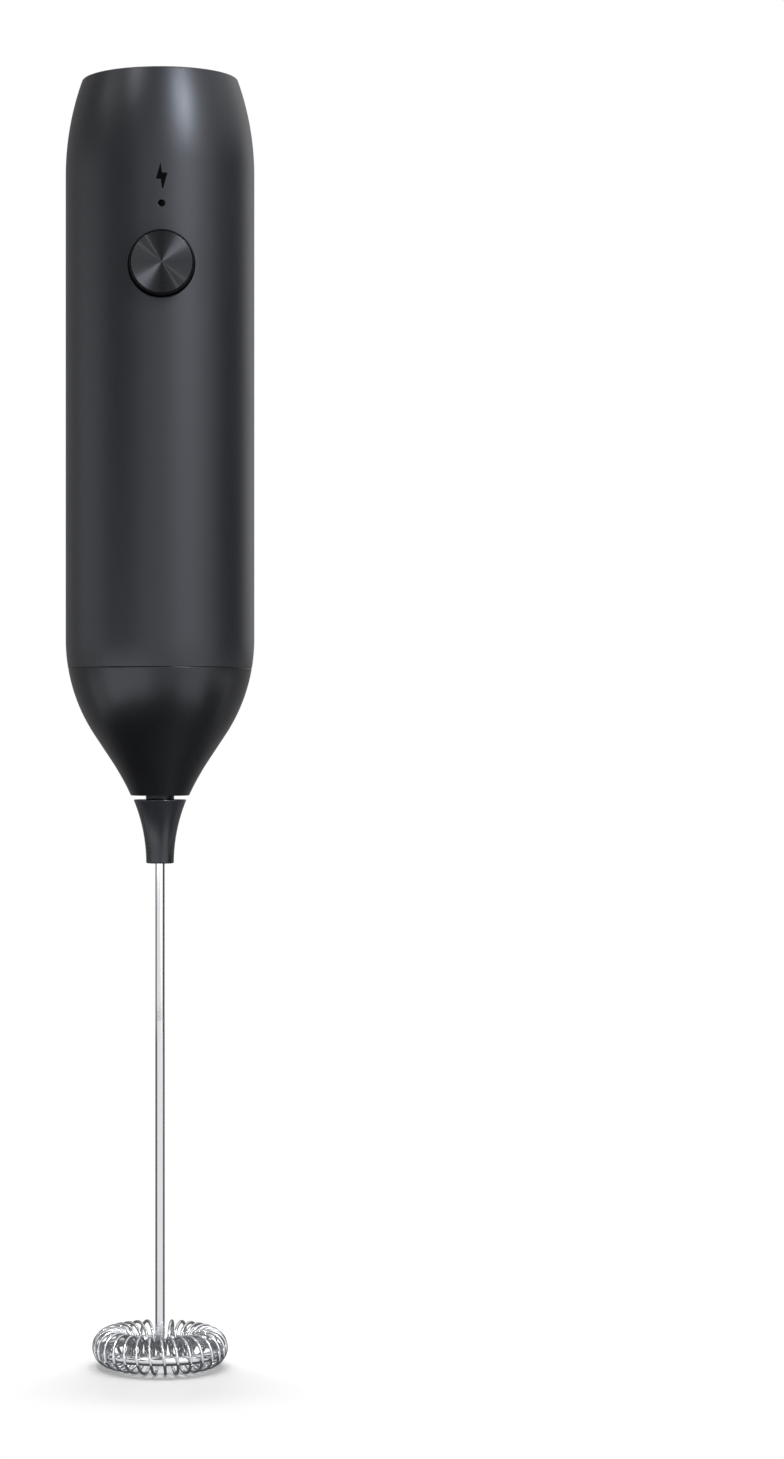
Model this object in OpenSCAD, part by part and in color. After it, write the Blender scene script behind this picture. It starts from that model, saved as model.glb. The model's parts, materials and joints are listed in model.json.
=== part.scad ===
// Rechargeable milk frother: a slim handle with a push button on its front, a tapered nose, and a
// pull-off whisk whose toroidal coil is wound on a formed wire ring. It points down, whisk lowest.
// Origin: the centre of the grip, on the spin axis. +Z runs up to the end cap. The button faces -Y.

/* [Handle] */
// Outer diameter of the handle
handle_d = 34; // [33:0.5:38]
// Height of the handle shell above the parting line
handle_h = 105.8; // [103:0.1:125]
// Height of the grip's centre above the parting line
grip_h = 36; // [25:1:45]
// Wall of the handle shell
shell_wall = 1.8; // [1.4:0.1:2]
// Diameter of the rim round the top
rim_d = 28; // [27:0.5:31]
// Height of the curved crown under the rim
crown_h = 17.1; // [12:0.1:20]
// Thickness of the shell's top plate
plate_t = 3; // [2.6:0.1:4]
// Chamfer on the rim
rim_chamfer = 0.3; // [0.1:0.1:0.6]

/* [End cap] */
// Diameter of the end cap's disc
cap_d = 22.9; // [21:0.1:24]
// Thickness of the end cap's disc
cap_t = 1.6; // [1.2:0.1:2]
// Diameter of the end cap's plug, which passes through the top plate
cap_plug_d = 18.8; // [17:0.1:19.6]
// Reach of the catch bead under the top plate
cap_catch = 0.3; // [0.2:0.1:0.5]
// Clearance round the end cap
cap_clear = 0.05; // [0.03:0.01:0.15]

/* [Nose] */
// Diameter of the nose at its tip
tip_d = 10.5; // [9:0.1:12]
// Height above the parting line at which the shoulder starts to curve
shoulder_h = 5.2; // [3:0.1:7]
// Radius of the shoulder's curve
shoulder_r = 31.2; // [28:0.1:34]
// Slope of the nose's flank, in degrees from the axis
flank_angle = 33.5; // [31:0.5:35]
// Radius of the hollow curve above the tip
flare_r = 47; // [40:1:55]
// Slope of the nose at its tip, in degrees from the axis
tip_angle = 24.7; // [22:0.1:28]
// Wall of the nose
nose_wall = 1.8; // [1.4:0.1:2.2]
// Height of the spigot that enters the shell
spigot_h = 5; // [4.5:0.1:6]
// Wall of the spigot
spigot_wall = 2.1; // [1.6:0.1:2.2]
// Gap between the spigot and the shell
spigot_clear = 0.1; // [0.05:0.01:0.2]
// Reach of the snap bead round the spigot
snap_bead = 0.35; // [0.2:0.05:0.5]
// Chamfer on the tip's edge
tip_chamfer = 0.25; // [0.1:0.05:0.4]
// Depth of the cored-out space under the motor seat
core_depth = 6.4; // [4:0.1:7]
// Thickness of the ribs under the motor seat
rib_t = 1.2; // [0.8:0.1:1.6]
// Number of those ribs
rib_count = 6; // [4:1:8]
// Diameter of the seal ring's cord
seal_cord_d = 0.9; // [0.7:0.05:1]

/* [Button] */
// Distance of the button's centre below the handle's top
button_drop = 35.2; // [32:0.1:40]
// Diameter of the button cap
button_d = 11.4; // [10:0.1:12.4]
// Gap between the button cap and its hole
button_gap = 0.3; // [0.2:0.05:0.5]
// How far the button stands out from the handle
button_proud = 2.5; // [1.6:0.1:3.2]
// Reach of the button's flange inside the shell
flange_reach = 1; // [0.8:0.1:1.4]
// Thickness of that flange
flange_t = 1; // [0.8:0.1:1.4]
// Diameter of the spun metal disc
disc_d = 10.6; // [9:0.1:10.8]
// Thickness of that disc
disc_t = 0.8; // [0.5:0.1:1.2]
// Diameter of the button's stem
stem_d = 3.2; // [2.4:0.1:4]
// Edge chamfer on the button and its hole
button_chamfer = 0.3; // [0.1:0.05:0.4]

/* [Indicator] */
// Height of the indicator above the button's centre
led_h = 10.6; // [9.5:0.1:13]
// Diameter of the light pipe's window
window_d = 1.24; // [1:0.02:2]
// Diameter of the light pipe inside the shell
pipe_d = 2.4; // [2.2:0.1:3]
// Wall of the boss that holds the light pipe
pipe_wall = 1; // [0.8:0.1:1.4]

/* [Electronics] */
// Width of the circuit board
board_w = 16; // [15:0.5:18]
// Thickness of the circuit board
board_t = 1; // [0.8:0.1:1.6]
// Reach of the board below the button's centre
board_below = 12.8; // [11:0.1:16]
// Side of the square key switch
switch_w = 6; // [5:0.1:6.5]
// Depth of the switch's body
switch_depth = 3.5; // [3:0.1:4.3]
// Diameter of the switch's plunger
plunger_d = 3.4; // [2.6:0.1:3.6]
// How far the plunger stands out of the switch
plunger_out = 0.9; // [0.6:0.1:1.4]
// Width of the charging socket
usb_w = 8.94; // [8.9:0.01:9]
// Depth of the charging socket
usb_h = 3.26; // [3.2:0.01:3.3]
// Length of the charging socket
usb_len = 7.3; // [6.5:0.1:9]
// Distance between the board screws across the board
board_screw_w = 12.4; // [11:0.1:12.8]

/* [Battery] */
// Diameter of the battery cell
cell_d = 18.3; // [17.5:0.1:18.5]
// Gap between the cell's tray and the charging socket above it
socket_gap = 8.5; // [7:0.1:14]
// Gap between the cell and the shell's wall
cell_gap = 0.75; // [0.5:0.05:1]
// Gap between the cell and its tray
cell_clear = 0.15; // [0.1:0.05:0.3]
// Thickness of the tabs welded to the cell
tab_t = 0.2; // [0.1:0.05:0.3]
// Width of those tabs
tab_w = 5; // [3:0.5:6]
// Thickness of the foam pad over the cell
pad_t = 1.3; // [0.8:0.1:2]

/* [Inner frame] */
// Thickness of the base plate
base_t = 2; // [1.5:0.1:2.5]
// Thickness of the tray's end walls
tray_t = 1.7; // [1.4:0.1:2.2]
// Thickness of the tray's floor, in front of the cell
floor_t = 2; // [1.8:0.1:2.4]
// Thickness of the tray's side walls
side_t = 1.9; // [1.4:0.1:2.2]
// Thickness of the pillars beside the motor
pillar_t = 2.2; // [1.8:0.1:2.6]
// Gap between the frame and the shell
frame_clear = 0.2; // [0.1:0.05:0.4]

/* [Motor] */
// Depth of the motor seat below the parting line
seat_drop = 9.5; // [8:0.1:10]
// Diameter of the motor
motor_d = 20; // [19:0.1:20.4]
// Width of the motor over its two flats
motor_flat = 15.1; // [14:0.1:15.6]
// Length of the motor's steel can
can_len = 20; // [19:0.1:21]
// Length of the end bell
bell_len = 5.1; // [4.6:0.1:6]
// Wall of the steel can
can_wall = 0.8; // [0.6:0.1:1]
// Diameter of the bearing bosses
boss_d = 6; // [5.4:0.1:6.4]
// Height of the front bearing boss
front_boss_h = 1.6; // [1.2:0.1:1.8]
// Height of the rear bearing boss
rear_boss_h = 1.3; // [1:0.1:1.8]
// Diameter of the motor shaft
shaft_d = 2; // [1.5:0.1:2.3]
// Radial running clearance of the shaft in its bushings
shaft_clear = 0.03; // [0.02:0.01:0.06]
// Outer diameter of the bushings
bushing_d = 4.2; // [3.6:0.1:4.5]
// Thickness of the two magnets
magnet_t = 2.4; // [2.3:0.1:2.8]
// Length of the magnets
magnet_len = 16; // [12:0.5:17]
// Air gap between the magnets and the armature
air_gap = 0.4; // [0.3:0.05:0.6]
// Length of the armature's stack
core_len = 13; // [10:0.5:13.5]
// Width of each armature tooth
tooth_w = 2.2; // [1.8:0.1:2.6]
// Thickness of the windings
winding_t = 1.8; // [1.2:0.1:1.9]
// Diameter of the commutator
commutator_d = 5; // [4.4:0.1:5.4]
// Thickness of the gasket under the motor
gasket_t = 0.5; // [0.3:0.1:0.8]

/* [Drive] */
// Diameter of the drive hub's neck
neck_d = 5.1; // [4.8:0.1:5.6]
// Gap between the neck and the nose's bore
neck_gap = 0.4; // [0.3:0.05:0.6]
// Gap between the nose's tip and the whisk's sleeve
tip_gap = 0.72; // [0.4:0.02:1.2]
// Width across the flats of the hexagonal plug
hex_w = 3.6; // [3.2:0.1:3.9]
// Length of the plug
plug_len = 5.3; // [4.5:0.1:5.6]
// Clearance of the plug in its socket
plug_clear = 0.05; // [0.03:0.01:0.1]
// Depth of the hub's bore round the motor shaft
hub_grip = 6.4; // [5:0.1:7]
// Diameter of the shaft seal
seal_d = 9; // [8.4:0.1:9.6]
// Height of the shaft seal
seal_h = 2.8; // [2:0.1:3]

/* [Whisk] */
// Length of the whisk's sleeve
sleeve_len = 11.5; // [10.9:0.1:14]
// Diameter of the sleeve's lower end
sleeve_end_d = 5; // [4.6:0.1:6]
// How far the sleeve's top edge stands in from the nose's tip
sleeve_step = 0.45; // [0.2:0.05:0.7]
// Depth to which the wire is held in the sleeve
wire_hold = 5.4; // [4.5:0.1:5.5]
// Diameter of the wire that forms the shaft and the ring
wire_d = 1.7; // [1.4:0.1:2]
// Height of the sleeve's lower end above the coil's centre plane
whisk_drop = 87.2; // [60:0.1:110]
// Overall diameter of the whisk
whisk_d = 24.74; // [22:0.02:28]
// Diameter of the coil's tube
coil_tube_d = 6.8; // [6:0.1:7.6]
// Diameter of the coil's wire
coil_wire_d = 0.55; // [0.45:0.05:0.65]
// Number of the coil's turns
coil_turns = 28; // [20:1:30]
// Turn of the coil about the axis, in degrees from the front
coil_phase = 2.4; // [0:0.1:12]
// Gap between the arm and the coil's ends
arm_gap = 0.5; // [0.3:0.1:1]
// Radius of the bends in the wire
bend_r = 2; // [1.6:0.1:2.6]
// Slope of the line from the coil's centre to the ring it hangs on, in degrees
ring_slope = 17.4; // [0:0.2:30]

/* [Hidden] */

// Facets of the previewed curves, and points along an arc of an outline
$fn = 96;
arc_steps = 12;
// How far a cutting shape runs past the face it cuts
past = 1;

// The end cap's catch, its edge, and the relief groove inside the plug
catch_h = 1;
catch_lead = 0.5;
catch_flat = 0.4;
cap_edge = 0.2;
relief_in = 1.2;
relief_w = 1.2;
relief_h = 1.4;

// Heights, from the parting line up
parting_z = -grip_h;
top_z = parting_z + handle_h;
plate_z = top_z - plate_t;
catch_z = plate_z - catch_h;
crown_z = top_z - crown_h;
button_z = top_z - button_drop;
led_z = button_z + led_h;
spigot_top = parting_z + spigot_h;

// The shell's radii and its crown, an arc that leaves the straight wall without a kink
handle_r = handle_d / 2;
inner_r = handle_r - shell_wall;
rim_r = rim_d / 2;
crown_r = (pow(crown_h, 2) + pow(handle_r - rim_r, 2)) / (2 * (handle_r - rim_r));

// The nose: a shoulder arc, a straight flank and a hollow flare down to the tip
tip_r = tip_d / 2;
shoulder_z = parting_z + shoulder_h;
shoulder_drop = shoulder_r * (1 - cos(flank_angle));
flare_drop = flare_r * (cos(tip_angle) - cos(flank_angle));
flank_len = (handle_r - tip_r - shoulder_drop - flare_drop) / sin(flank_angle);
flank_top = [handle_r - shoulder_drop, shoulder_z - shoulder_r * sin(flank_angle)];
flank_end = flank_top + flank_len * [-sin(flank_angle), -cos(flank_angle)];
flare_centre = flank_end + flare_r * [cos(flank_angle), -sin(flank_angle)];
tip_z = flare_centre[1] + flare_r * sin(tip_angle);

// The spigot, its seal groove and its snap bead
spigot_r = inner_r - spigot_clear;
spigot_in = spigot_r - spigot_wall;
seal_clear = 0.02;
groove_r = inner_r - seal_cord_d - 2 * seal_clear;
groove_h = seal_cord_d + 0.3;
groove_z = parting_z + 0.7;
bead_z = groove_z + groove_h + 0.4;
bead_h = 1.4;
bead_clear = 0.05;

// The motor and what stacks on it
seat_z = parting_z - seat_drop;
motor_z = seat_z + gasket_t;
motor_r = motor_d / 2;
bell_z = motor_z + can_len;
motor_top = bell_z + bell_len;
bell_wall = 1.5;
bell_side = 1;
can_in = motor_r - can_wall;
flat_in = motor_flat / 2 - can_wall;
pocket_clear = 0.1;
collar_t = 1.3;
collar_h = 10;
housing_wall = 1.5;
gasket_clear = 0.1;
lip_clear = 0.05;
lip_t = 0.8;
seal_wall = 0.9;
seal_z = motor_z - front_boss_h - gasket_clear - seal_h;
hub_bore_r = neck_d / 2 + neck_gap;
brush_gap = 0.05;
brush_t = 1;
brush_w = 1.6;
brush_h = 1.4;
brush_lift = 0.4;
leaf_t = 0.3;
leaf_w = 1.2;
terminal_y = commutator_d / 2 + brush_gap + brush_t + leaf_t / 2;
terminal_w = 1.6;
terminal_h = 2.3;
magnet_half_angle = 45;
magnet_lift = 1;
core_r = can_in - magnet_t - air_gap;
shoe_t = 1.1;
hub_core_r = 2.2;
pole_count = 3;
shoe_half_angle = 50;
core_z = motor_z + can_len / 2 - core_len / 2 - 0.5;
commutator_drop = 1.5;
commutator_z = bell_z - commutator_drop;
commutator_len = bell_len - bell_wall - 0.6 + commutator_drop;
slot_depth = 0.5;
slot_w = 0.3;
screw_boss_r = 2.4;
screw_y = motor_flat / 2 + pocket_clear + collar_t / 2 + screw_boss_r;

// The cell in its tray, and the board in front of the tray's floor
cell_r = cell_d / 2;
cell_y = inner_r - cell_gap - cell_r;
terminal_clear = 1.2;
tray_z = motor_top + terminal_h + terminal_clear;
cell_z = tray_z + tray_t + tab_t;
usb_recess = 0.3;
usb_z = top_z - usb_recess - usb_len;
frame_top = usb_z - socket_gap;
tray_top = frame_top - tray_t;
cell_top = tray_top - pad_t - tab_t;
cell_len = cell_top - cell_z;
pad_d = 14;
tab_reach = 3;
tab_past = 1.2;
tab_clear = 0.2;
// Windows in the tray's side walls: how many, their depth and height, and how far in front they start
window_count = 4;
window_size = [4, 10];
window_front = 5.5;
// The cell's rounded foot, its crimped neck as [inset from the side, drop from the end], its button
cell_edge = 0.6;
cell_neck = [[0, 2.6], [0.5, 2.2], [0.5, 1.8], [0.1, 1.4], [1.2, 0.7]];
cell_button_r = [3.3, 3];
tray_half = cell_r + cell_clear + side_t;
frame_r = inner_r - frame_clear;
motor_space = 0.5;
pillar_x = motor_r + motor_space;
pillar_w = 8;
board_back = cell_r + cell_clear + floor_t - cell_y;
board_front = board_back + board_t;
board_z = button_z - board_below;
board_gap = 1;
board_top = plate_z - board_gap;
board_corner = 1.5;

// Parts on the board: [x, drop below the board's top, the indicator or the button], and their
// [width, height, thickness]. A charging controller and its coil, a processor, and a motor driver
charger_at = [-4.2, 7.5];
charger_size = [4, 4, 1.1];
coil_at = [4, 7.5];
coil_size = [5, 4, 1.4];
processor_at = [-4.6, 4.2];
processor_size = [2.4, 1.8, 0.9];
driver_at = [5, 7];
driver_size = [3, 3, 1.1];
// The first of a row of capacitors, and of a pair of resistors, and the step to the next
capacitor_at = [-5.7, 2.6];
capacitor_step = 3.8;
capacitor_size = [1, 1.7, 0.7];
resistor_at = [5.6, 3.6];
resistor_step = 2.2;
resistor_size = [1.7, 1, 0.7];

// The screws: [head radius, head height, shank radius, shank length]
frame_screw = [1.8, 1.2, 0.9, 8];
board_screw = [1.4, 0.9, 0.7, 4.2];
screw_clear = 0.15;
screw_edge = [2.6, 3.5];
board_screw_rows = [board_z + screw_edge[0], frame_top - screw_edge[1]];

// The socket stands on the board's back and opens through the end cap
usb_y = -board_back + usb_h / 2;
usb_t = 0.3;
usb_clear = 0.15;
tongue_w = 6.69;
tongue_t = 0.7;
tongue_short = 1.3;

// The button, measured outward from the axis
button_r = button_d / 2;
flange_r = button_r + flange_reach;
landing_r = flange_r + 0.6;
hole_sink = 0.8;
hole_cone = 1.1;
landing_out = sqrt(pow(inner_r, 2) - pow(flange_r + 0.3, 2));
landing_gap = 0.05;
flange_out = landing_out - landing_gap;
button_out = handle_r + button_proud;
cup_wall = 1;
cup_roof = 2;
disc_edge = 0.15;
switch_out = board_front + switch_depth;
plunger_end = switch_out + plunger_out;
plunger_depth = 1.9;
switch_hole_depth = 2.5;
plunger_clear = 0.1;

// The light pipe, measured the same way
led_depth = 0.6;
led_size = [1.6, 0.8];
pipe_gap = 0.2;
window_sink = 0.05;
pipe_start = board_front + led_depth + pipe_gap;
pipe_shoulder = handle_r - shell_wall - 0.6;
pipe_boss_out = pipe_shoulder - 1.6;

// The drive hub, the sleeve and the whisk's wire
neck_end = tip_z - tip_gap;
hub_top = seal_z - 0.6;
shaft_end = hub_top - hub_grip;
plug_end = neck_end - plug_len;
socket_extra = 0.2;
sleeve_top_r = tip_r - sleeve_step;
sleeve_end_r = sleeve_end_d / 2;
sleeve_end = neck_end - sleeve_len;
sleeve_flare_r = (pow(sleeve_len, 2) + pow(sleeve_top_r - sleeve_end_r, 2))
    / (2 * (sleeve_top_r - sleeve_end_r));
sleeve_edge = 0.2;
wire_r = wire_d / 2;
strand_r = coil_wire_d / 2;
coil_z = sleeve_end - whisk_drop;
tube_r = coil_tube_d / 2;
coil_r = whisk_d / 2 - tube_r;
strand_path_r = tube_r - strand_r;
ring_clear = 0.02;
ring_offset = strand_path_r - strand_r - wire_r - ring_clear;
ring_r = coil_r + ring_offset * cos(ring_slope);
ring_z = coil_z - ring_offset * sin(ring_slope);
// The coil leaves a gap for the arm, and its ends rest on the ring beside it
coil_gap = 2 * asin((wire_r + strand_r + arm_gap) / (coil_r - strand_path_r));
coil_pitch = (360 - coil_gap) / coil_turns;
coil_start = coil_phase + coil_pitch * (ring_slope / 360 - coil_turns / 2);
arm_turn = coil_start - coil_gap / 2 - 90;
// A short straight stretch joins the arm's corner to the ring
corner_len = 0.6;
corner_reach = norm([ring_r - bend_r, corner_len]);
corner_turn = atan(corner_len / (ring_r - bend_r)) + asin(bend_r / corner_reach);
arm_len = (ring_r - bend_r) * cos(corner_turn) + corner_len * sin(corner_turn);
ring_end_angle = 12;
strand_sides = 6;
strand_steps = 14;
lead_r = 0.45;
lead_sides = 8;
// Each lead leaves its terminal by steps of [x, y], and climbs the tray's front at its own x
short_lead = [[0.2, 0], [-1, 0], [-2.2, -0.5]];
long_lead = [[-0.2, 0], [1, 0], [2.6, -0.6], [3.8, -2]];
long_lead_side = [[4.3, 0.5], [4.3, -3]];
long_lead_in = [4.1, 1.2];
climb_x = [-3.1, 4, 1.6];
climb_start = 0.9;
// Where a climbing lead leans over to the board and where it ends, from the board's foot
lean = [3.2, 1.6, 0.3];
lead_end = 1.6;
lead_gap = 0.1;

// Shell's inner radius at a height
function inner_r_at(z) = z <= crown_z ? inner_r
    : handle_r - crown_r + sqrt(pow(crown_r - shell_wall, 2) - pow(z - crown_z, 2));

// Points along an arc from angle a to angle b
function arc(centre, r, a, b) = [
    for (i = [0:arc_steps]) let (t = a + (b - a) * i / arc_steps) centre + r * [cos(t), sin(t)]
];

// The nose's outline from the shell's edge down to the tip, moved inward by an inset
function nose_outline(inset) = concat(
    arc([handle_r - shoulder_r, shoulder_z], shoulder_r - inset,
        -asin(shoulder_h / (shoulder_r - inset)), -flank_angle),
    arc(flare_centre, flare_r + inset, 180 - flank_angle, 180 - tip_angle)
);

// The shell's crown from the straight wall up to a height, moved inward by an inset
function crown_outline(inset, height) = arc([handle_r - crown_r, crown_z], crown_r - inset,
    0, asin(height / (crown_r - inset)));

function unit(v) = v / norm(v);

// Direction of a path at point i
function heading(path, i) =
    unit(path[min(i + 1, len(path) - 1)] - path[max(i - 1, 0)]);

// A ring of points round a path's point, square to the heading and turned towards a side
function section(centre, ahead, side, r, sides) =
    let (a = unit(cross(ahead, side)), b = cross(a, ahead))
    [for (k = [0:sides - 1]) centre + r * (cos(360 * k / sides) * a + sin(360 * k / sides) * b)];

// Point of the coil's strand, t degrees round its tube from the ring
function strand(t) =
    let (turn = coil_start - 90 + coil_pitch * t / 360, roll = ring_slope + t,
         out = coil_r + strand_path_r * cos(roll))
    [out * cos(turn), out * sin(turn), coil_z - strand_path_r * sin(roll)];

// Middle of the coil's tube beside that point
function strand_middle(t) =
    let (turn = coil_start - 90 + coil_pitch * t / 360)
    [coil_r * cos(turn), coil_r * sin(turn), coil_z];

// A round wire along a path; sides holds one direction square to the path for each point
module wire(path, side, r, sides) {
    last = len(path) - 1;
    points = [
        for (i = [0:last]) each section(path[i], heading(path, i), side[i], r, sides)
    ];
    walls = [
        for (i = [0:last - 1], k = [0:sides - 1])
            let (a = i * sides + k, b = i * sides + (k + 1) % sides)
            each [[a, a + sides, b], [b, a + sides, b + sides]]
    ];
    ends = [
        for (k = [1:sides - 2])
            each [[0, k, k + 1], [last * sides, last * sides + k + 1, last * sides + k]]
    ];
    polyhedron(points, concat(walls, ends));
}

// A solid of revolution
module turned(outline) rotate_extrude() polygon(outline);

module tube(r, hole_r, h) {
    difference() {
        cylinder(r = r, h = h);
        translate([0, 0, -past]) cylinder(r = hole_r, h = h + 2 * past);
    }
}

// A cylinder with two flats, facing front and back
module flatted(r, half_flat, h) {
    intersection() {
        cylinder(r = r, h = h);
        translate([-r - past, -half_flat, 0]) cube([2 * (r + past), 2 * half_flat, h]);
    }
}

// Turns a shape so that its Z axis points out of the handle's front, at a height
module facing(z) translate([0, 0, z]) rotate([90, 0, 0]) children();

// A flat-sided slot outline with round ends, as the charging socket has
module slot_shape(w, h, grow) {
    r = h / 2 + grow;
    for (s = [-1, 1]) translate([s * (w - h) / 2, 0]) circle(r = r);
    translate([-(w - h) / 2, -r]) square([w - h, 2 * r]);
}

// A self-tapping screw whose head stands on z = 0 and whose shank runs down
module screw(size) {
    difference() {
        union() {
            cylinder(r1 = size[0], r2 = size[0] * 0.82, h = size[1]);
            translate([0, 0, -size[3]]) cylinder(r = size[2], h = size[3] + size[1] / 2);
        }
        for (turn = [0, 90]) rotate([0, 0, turn])
            translate([-size[0] * 0.6, -size[0] * 0.15, size[1] * 0.45])
                cube([size[0] * 1.2, size[0] * 0.3, size[1]]);
    }
}

module handle_shell() color([0.23, 0.235, 0.25]) difference() {
    union() {
        difference() {
            turned(concat(
                [[0, parting_z]],
                arc([handle_r - shoulder_r, shoulder_z], shoulder_r,
                    -asin(shoulder_h / shoulder_r), 0),
                crown_outline(0, crown_h - rim_chamfer),
                [[rim_r - rim_chamfer, top_z], [0, top_z]]
            ));
            turned(concat(
                [[0, parting_z - past], [inner_r, parting_z - past]],
                snap_outline(inner_r, bead_clear),
                crown_outline(shell_wall, plate_z - crown_z),
                [[0, plate_z]]
            ));
        }
        // The flat landing for the button's flange, and the boss for the light pipe
        intersection() {
            cylinder(r = handle_r - shell_wall / 2, h = top_z);
            union() {
                facing(button_z) translate([0, 0, landing_out]) cylinder(r = landing_r, h = handle_r);
                facing(led_z) translate([0, 0, pipe_boss_out])
                    cylinder(r = pipe_d / 2 + pipe_wall, h = handle_r);
            }
        }
    }
    facing(button_z) {
        cylinder(r = button_r + button_gap, h = 2 * handle_r);
        translate([0, 0, handle_r - hole_sink])
            cylinder(r1 = button_r + button_gap, r2 = button_r + button_gap + hole_cone, h = hole_cone);
    }
    facing(led_z) {
        cylinder(r = window_d / 2, h = 2 * handle_r);
        cylinder(r = pipe_d / 2, h = pipe_shoulder);
    }
    translate([0, 0, plate_z - past])
        cylinder(r = cap_plug_d / 2 + cap_clear, h = plate_t + 2 * past);
    translate([0, 0, top_z - cap_t]) cylinder(r = cap_d / 2 + cap_clear, h = cap_t + past);
}

// The snap bead round the spigot, or the groove for it, on a wall of radius r
function snap_outline(r, clear) =
    let (out = spigot_r + snap_bead + clear, low = bead_z - clear, high = bead_z + bead_h + clear)
    [[r, low - (r - spigot_r)], [out, low + snap_bead], [out, high - snap_bead],
     [r, high + (r - spigot_r)]];

module end_cap() color([0.13, 0.13, 0.14]) difference() {
    turned([
        [0, catch_z], [cap_plug_d / 2 - catch_lead, catch_z],
        [cap_plug_d / 2 + cap_catch, plate_z - catch_flat],
        [cap_plug_d / 2 + cap_catch, plate_z - cap_clear],
        [cap_plug_d / 2, plate_z - cap_clear], [cap_plug_d / 2, top_z - cap_t],
        [cap_d / 2, top_z - cap_t], [cap_d / 2, top_z - cap_edge],
        [cap_d / 2 - cap_edge, top_z], [0, top_z]
    ]);
    translate([0, usb_y, catch_z - past]) linear_extrude(top_z - catch_z + 2 * past)
        slot_shape(usb_w, usb_h, usb_clear);
    // Relief groove that lets the catch spring in
    translate([0, 0, catch_z - past])
        tube(cap_plug_d / 2 - relief_in, cap_plug_d / 2 - relief_in - relief_w, relief_h + past);
}

module nose_cone() color([0.16, 0.16, 0.175]) difference() {
    union() {
        difference() {
            turned(concat(
                [[0, spigot_top], [spigot_r - 0.4, spigot_top], [spigot_r, spigot_top - 0.4]],
                [for (i = [3:-1:0]) snap_outline(spigot_r, 0)[i]],
                [[spigot_r, groove_z + groove_h], [groove_r, groove_z + groove_h],
                 [groove_r, groove_z], [spigot_r, groove_z], [spigot_r, parting_z]],
                [for (p = nose_outline(0)) if (p[1] > tip_z + tip_chamfer) p],
                [[tip_r + tip_chamfer * tan(tip_angle), tip_z + tip_chamfer],
                 [tip_r - tip_chamfer, tip_z], [0, tip_z]]
            ));
            rotate_extrude() difference() {
                union() {
                    polygon(concat(
                        [[0, shoulder_z], [spigot_in, shoulder_z]],
                        [for (p = nose_outline(nose_wall)) [min(p[0], spigot_in), p[1]]],
                        [[0, tip_z]]
                    ));
                    translate([0, shoulder_z - past]) square([spigot_in, spigot_h + 2 * past]);
                }
                translate([0, tip_z - past]) square([seal_d / 2 + housing_wall, seat_z - tip_z + past]);
                translate([0, tip_z - past]) square([handle_r, seat_z - core_depth - tip_z + past]);
            }
        }
        // Ribs under the motor, the collar round it and the two screw bosses
        intersection() {
            rotate_extrude() polygon(concat(
                [[0, spigot_top], [spigot_in + 0.5, spigot_top], [spigot_in + 0.5, parting_z]],
                [for (p = nose_outline(nose_wall / 2)) [min(p[0], spigot_in + 0.5), p[1]]],
                [[0, tip_z + past]]
            ));
            union() {
                for (i = [0:rib_count - 1]) rotate([0, 0, 360 * (i + 0.5) / rib_count])
                    translate([seal_d / 2 + housing_wall / 2, -rib_t / 2, seat_z - core_depth - 0.5])
                        cube([handle_r, rib_t, core_depth + 0.5]);
                translate([0, 0, seat_z - past]) difference() {
                    flatted(motor_r + pocket_clear + collar_t,
                        motor_flat / 2 + pocket_clear + collar_t, collar_h + past);
                    flatted(motor_r + pocket_clear, motor_flat / 2 + pocket_clear,
                        collar_h + 2 * past);
                }
                for (s = [-1, 1]) translate([0, s * screw_y, seat_z - past])
                    cylinder(r = screw_boss_r, h = spigot_top - seat_z + past);
            }
        }
    }
    translate([0, 0, seal_z]) cylinder(r = seal_d / 2, h = seat_z - seal_z + past);
    translate([0, 0, tip_z - past]) cylinder(r = hub_bore_r, h = seal_z - tip_z + 2 * past);
    for (s = [-1, 1]) translate([0, s * screw_y, spigot_top + base_t - frame_screw[3]])
        cylinder(r = frame_screw[2], h = frame_screw[3]);
}

module nose_seal_ring() color([0.1, 0.1, 0.1])
    translate([0, 0, groove_z + groove_h / 2]) rotate_extrude()
        translate([groove_r + seal_clear + seal_cord_d / 2, 0]) circle(d = seal_cord_d);

// A plate across the handle, cut to the tray's width
module cross_wall(z, t, r) {
    intersection() {
        translate([0, 0, z]) cylinder(r = r, h = t);
        translate([-pillar_x - pillar_t, -board_back, z])
            cube([2 * (pillar_x + pillar_t), 2 * handle_r, t]);
    }
}

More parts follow.
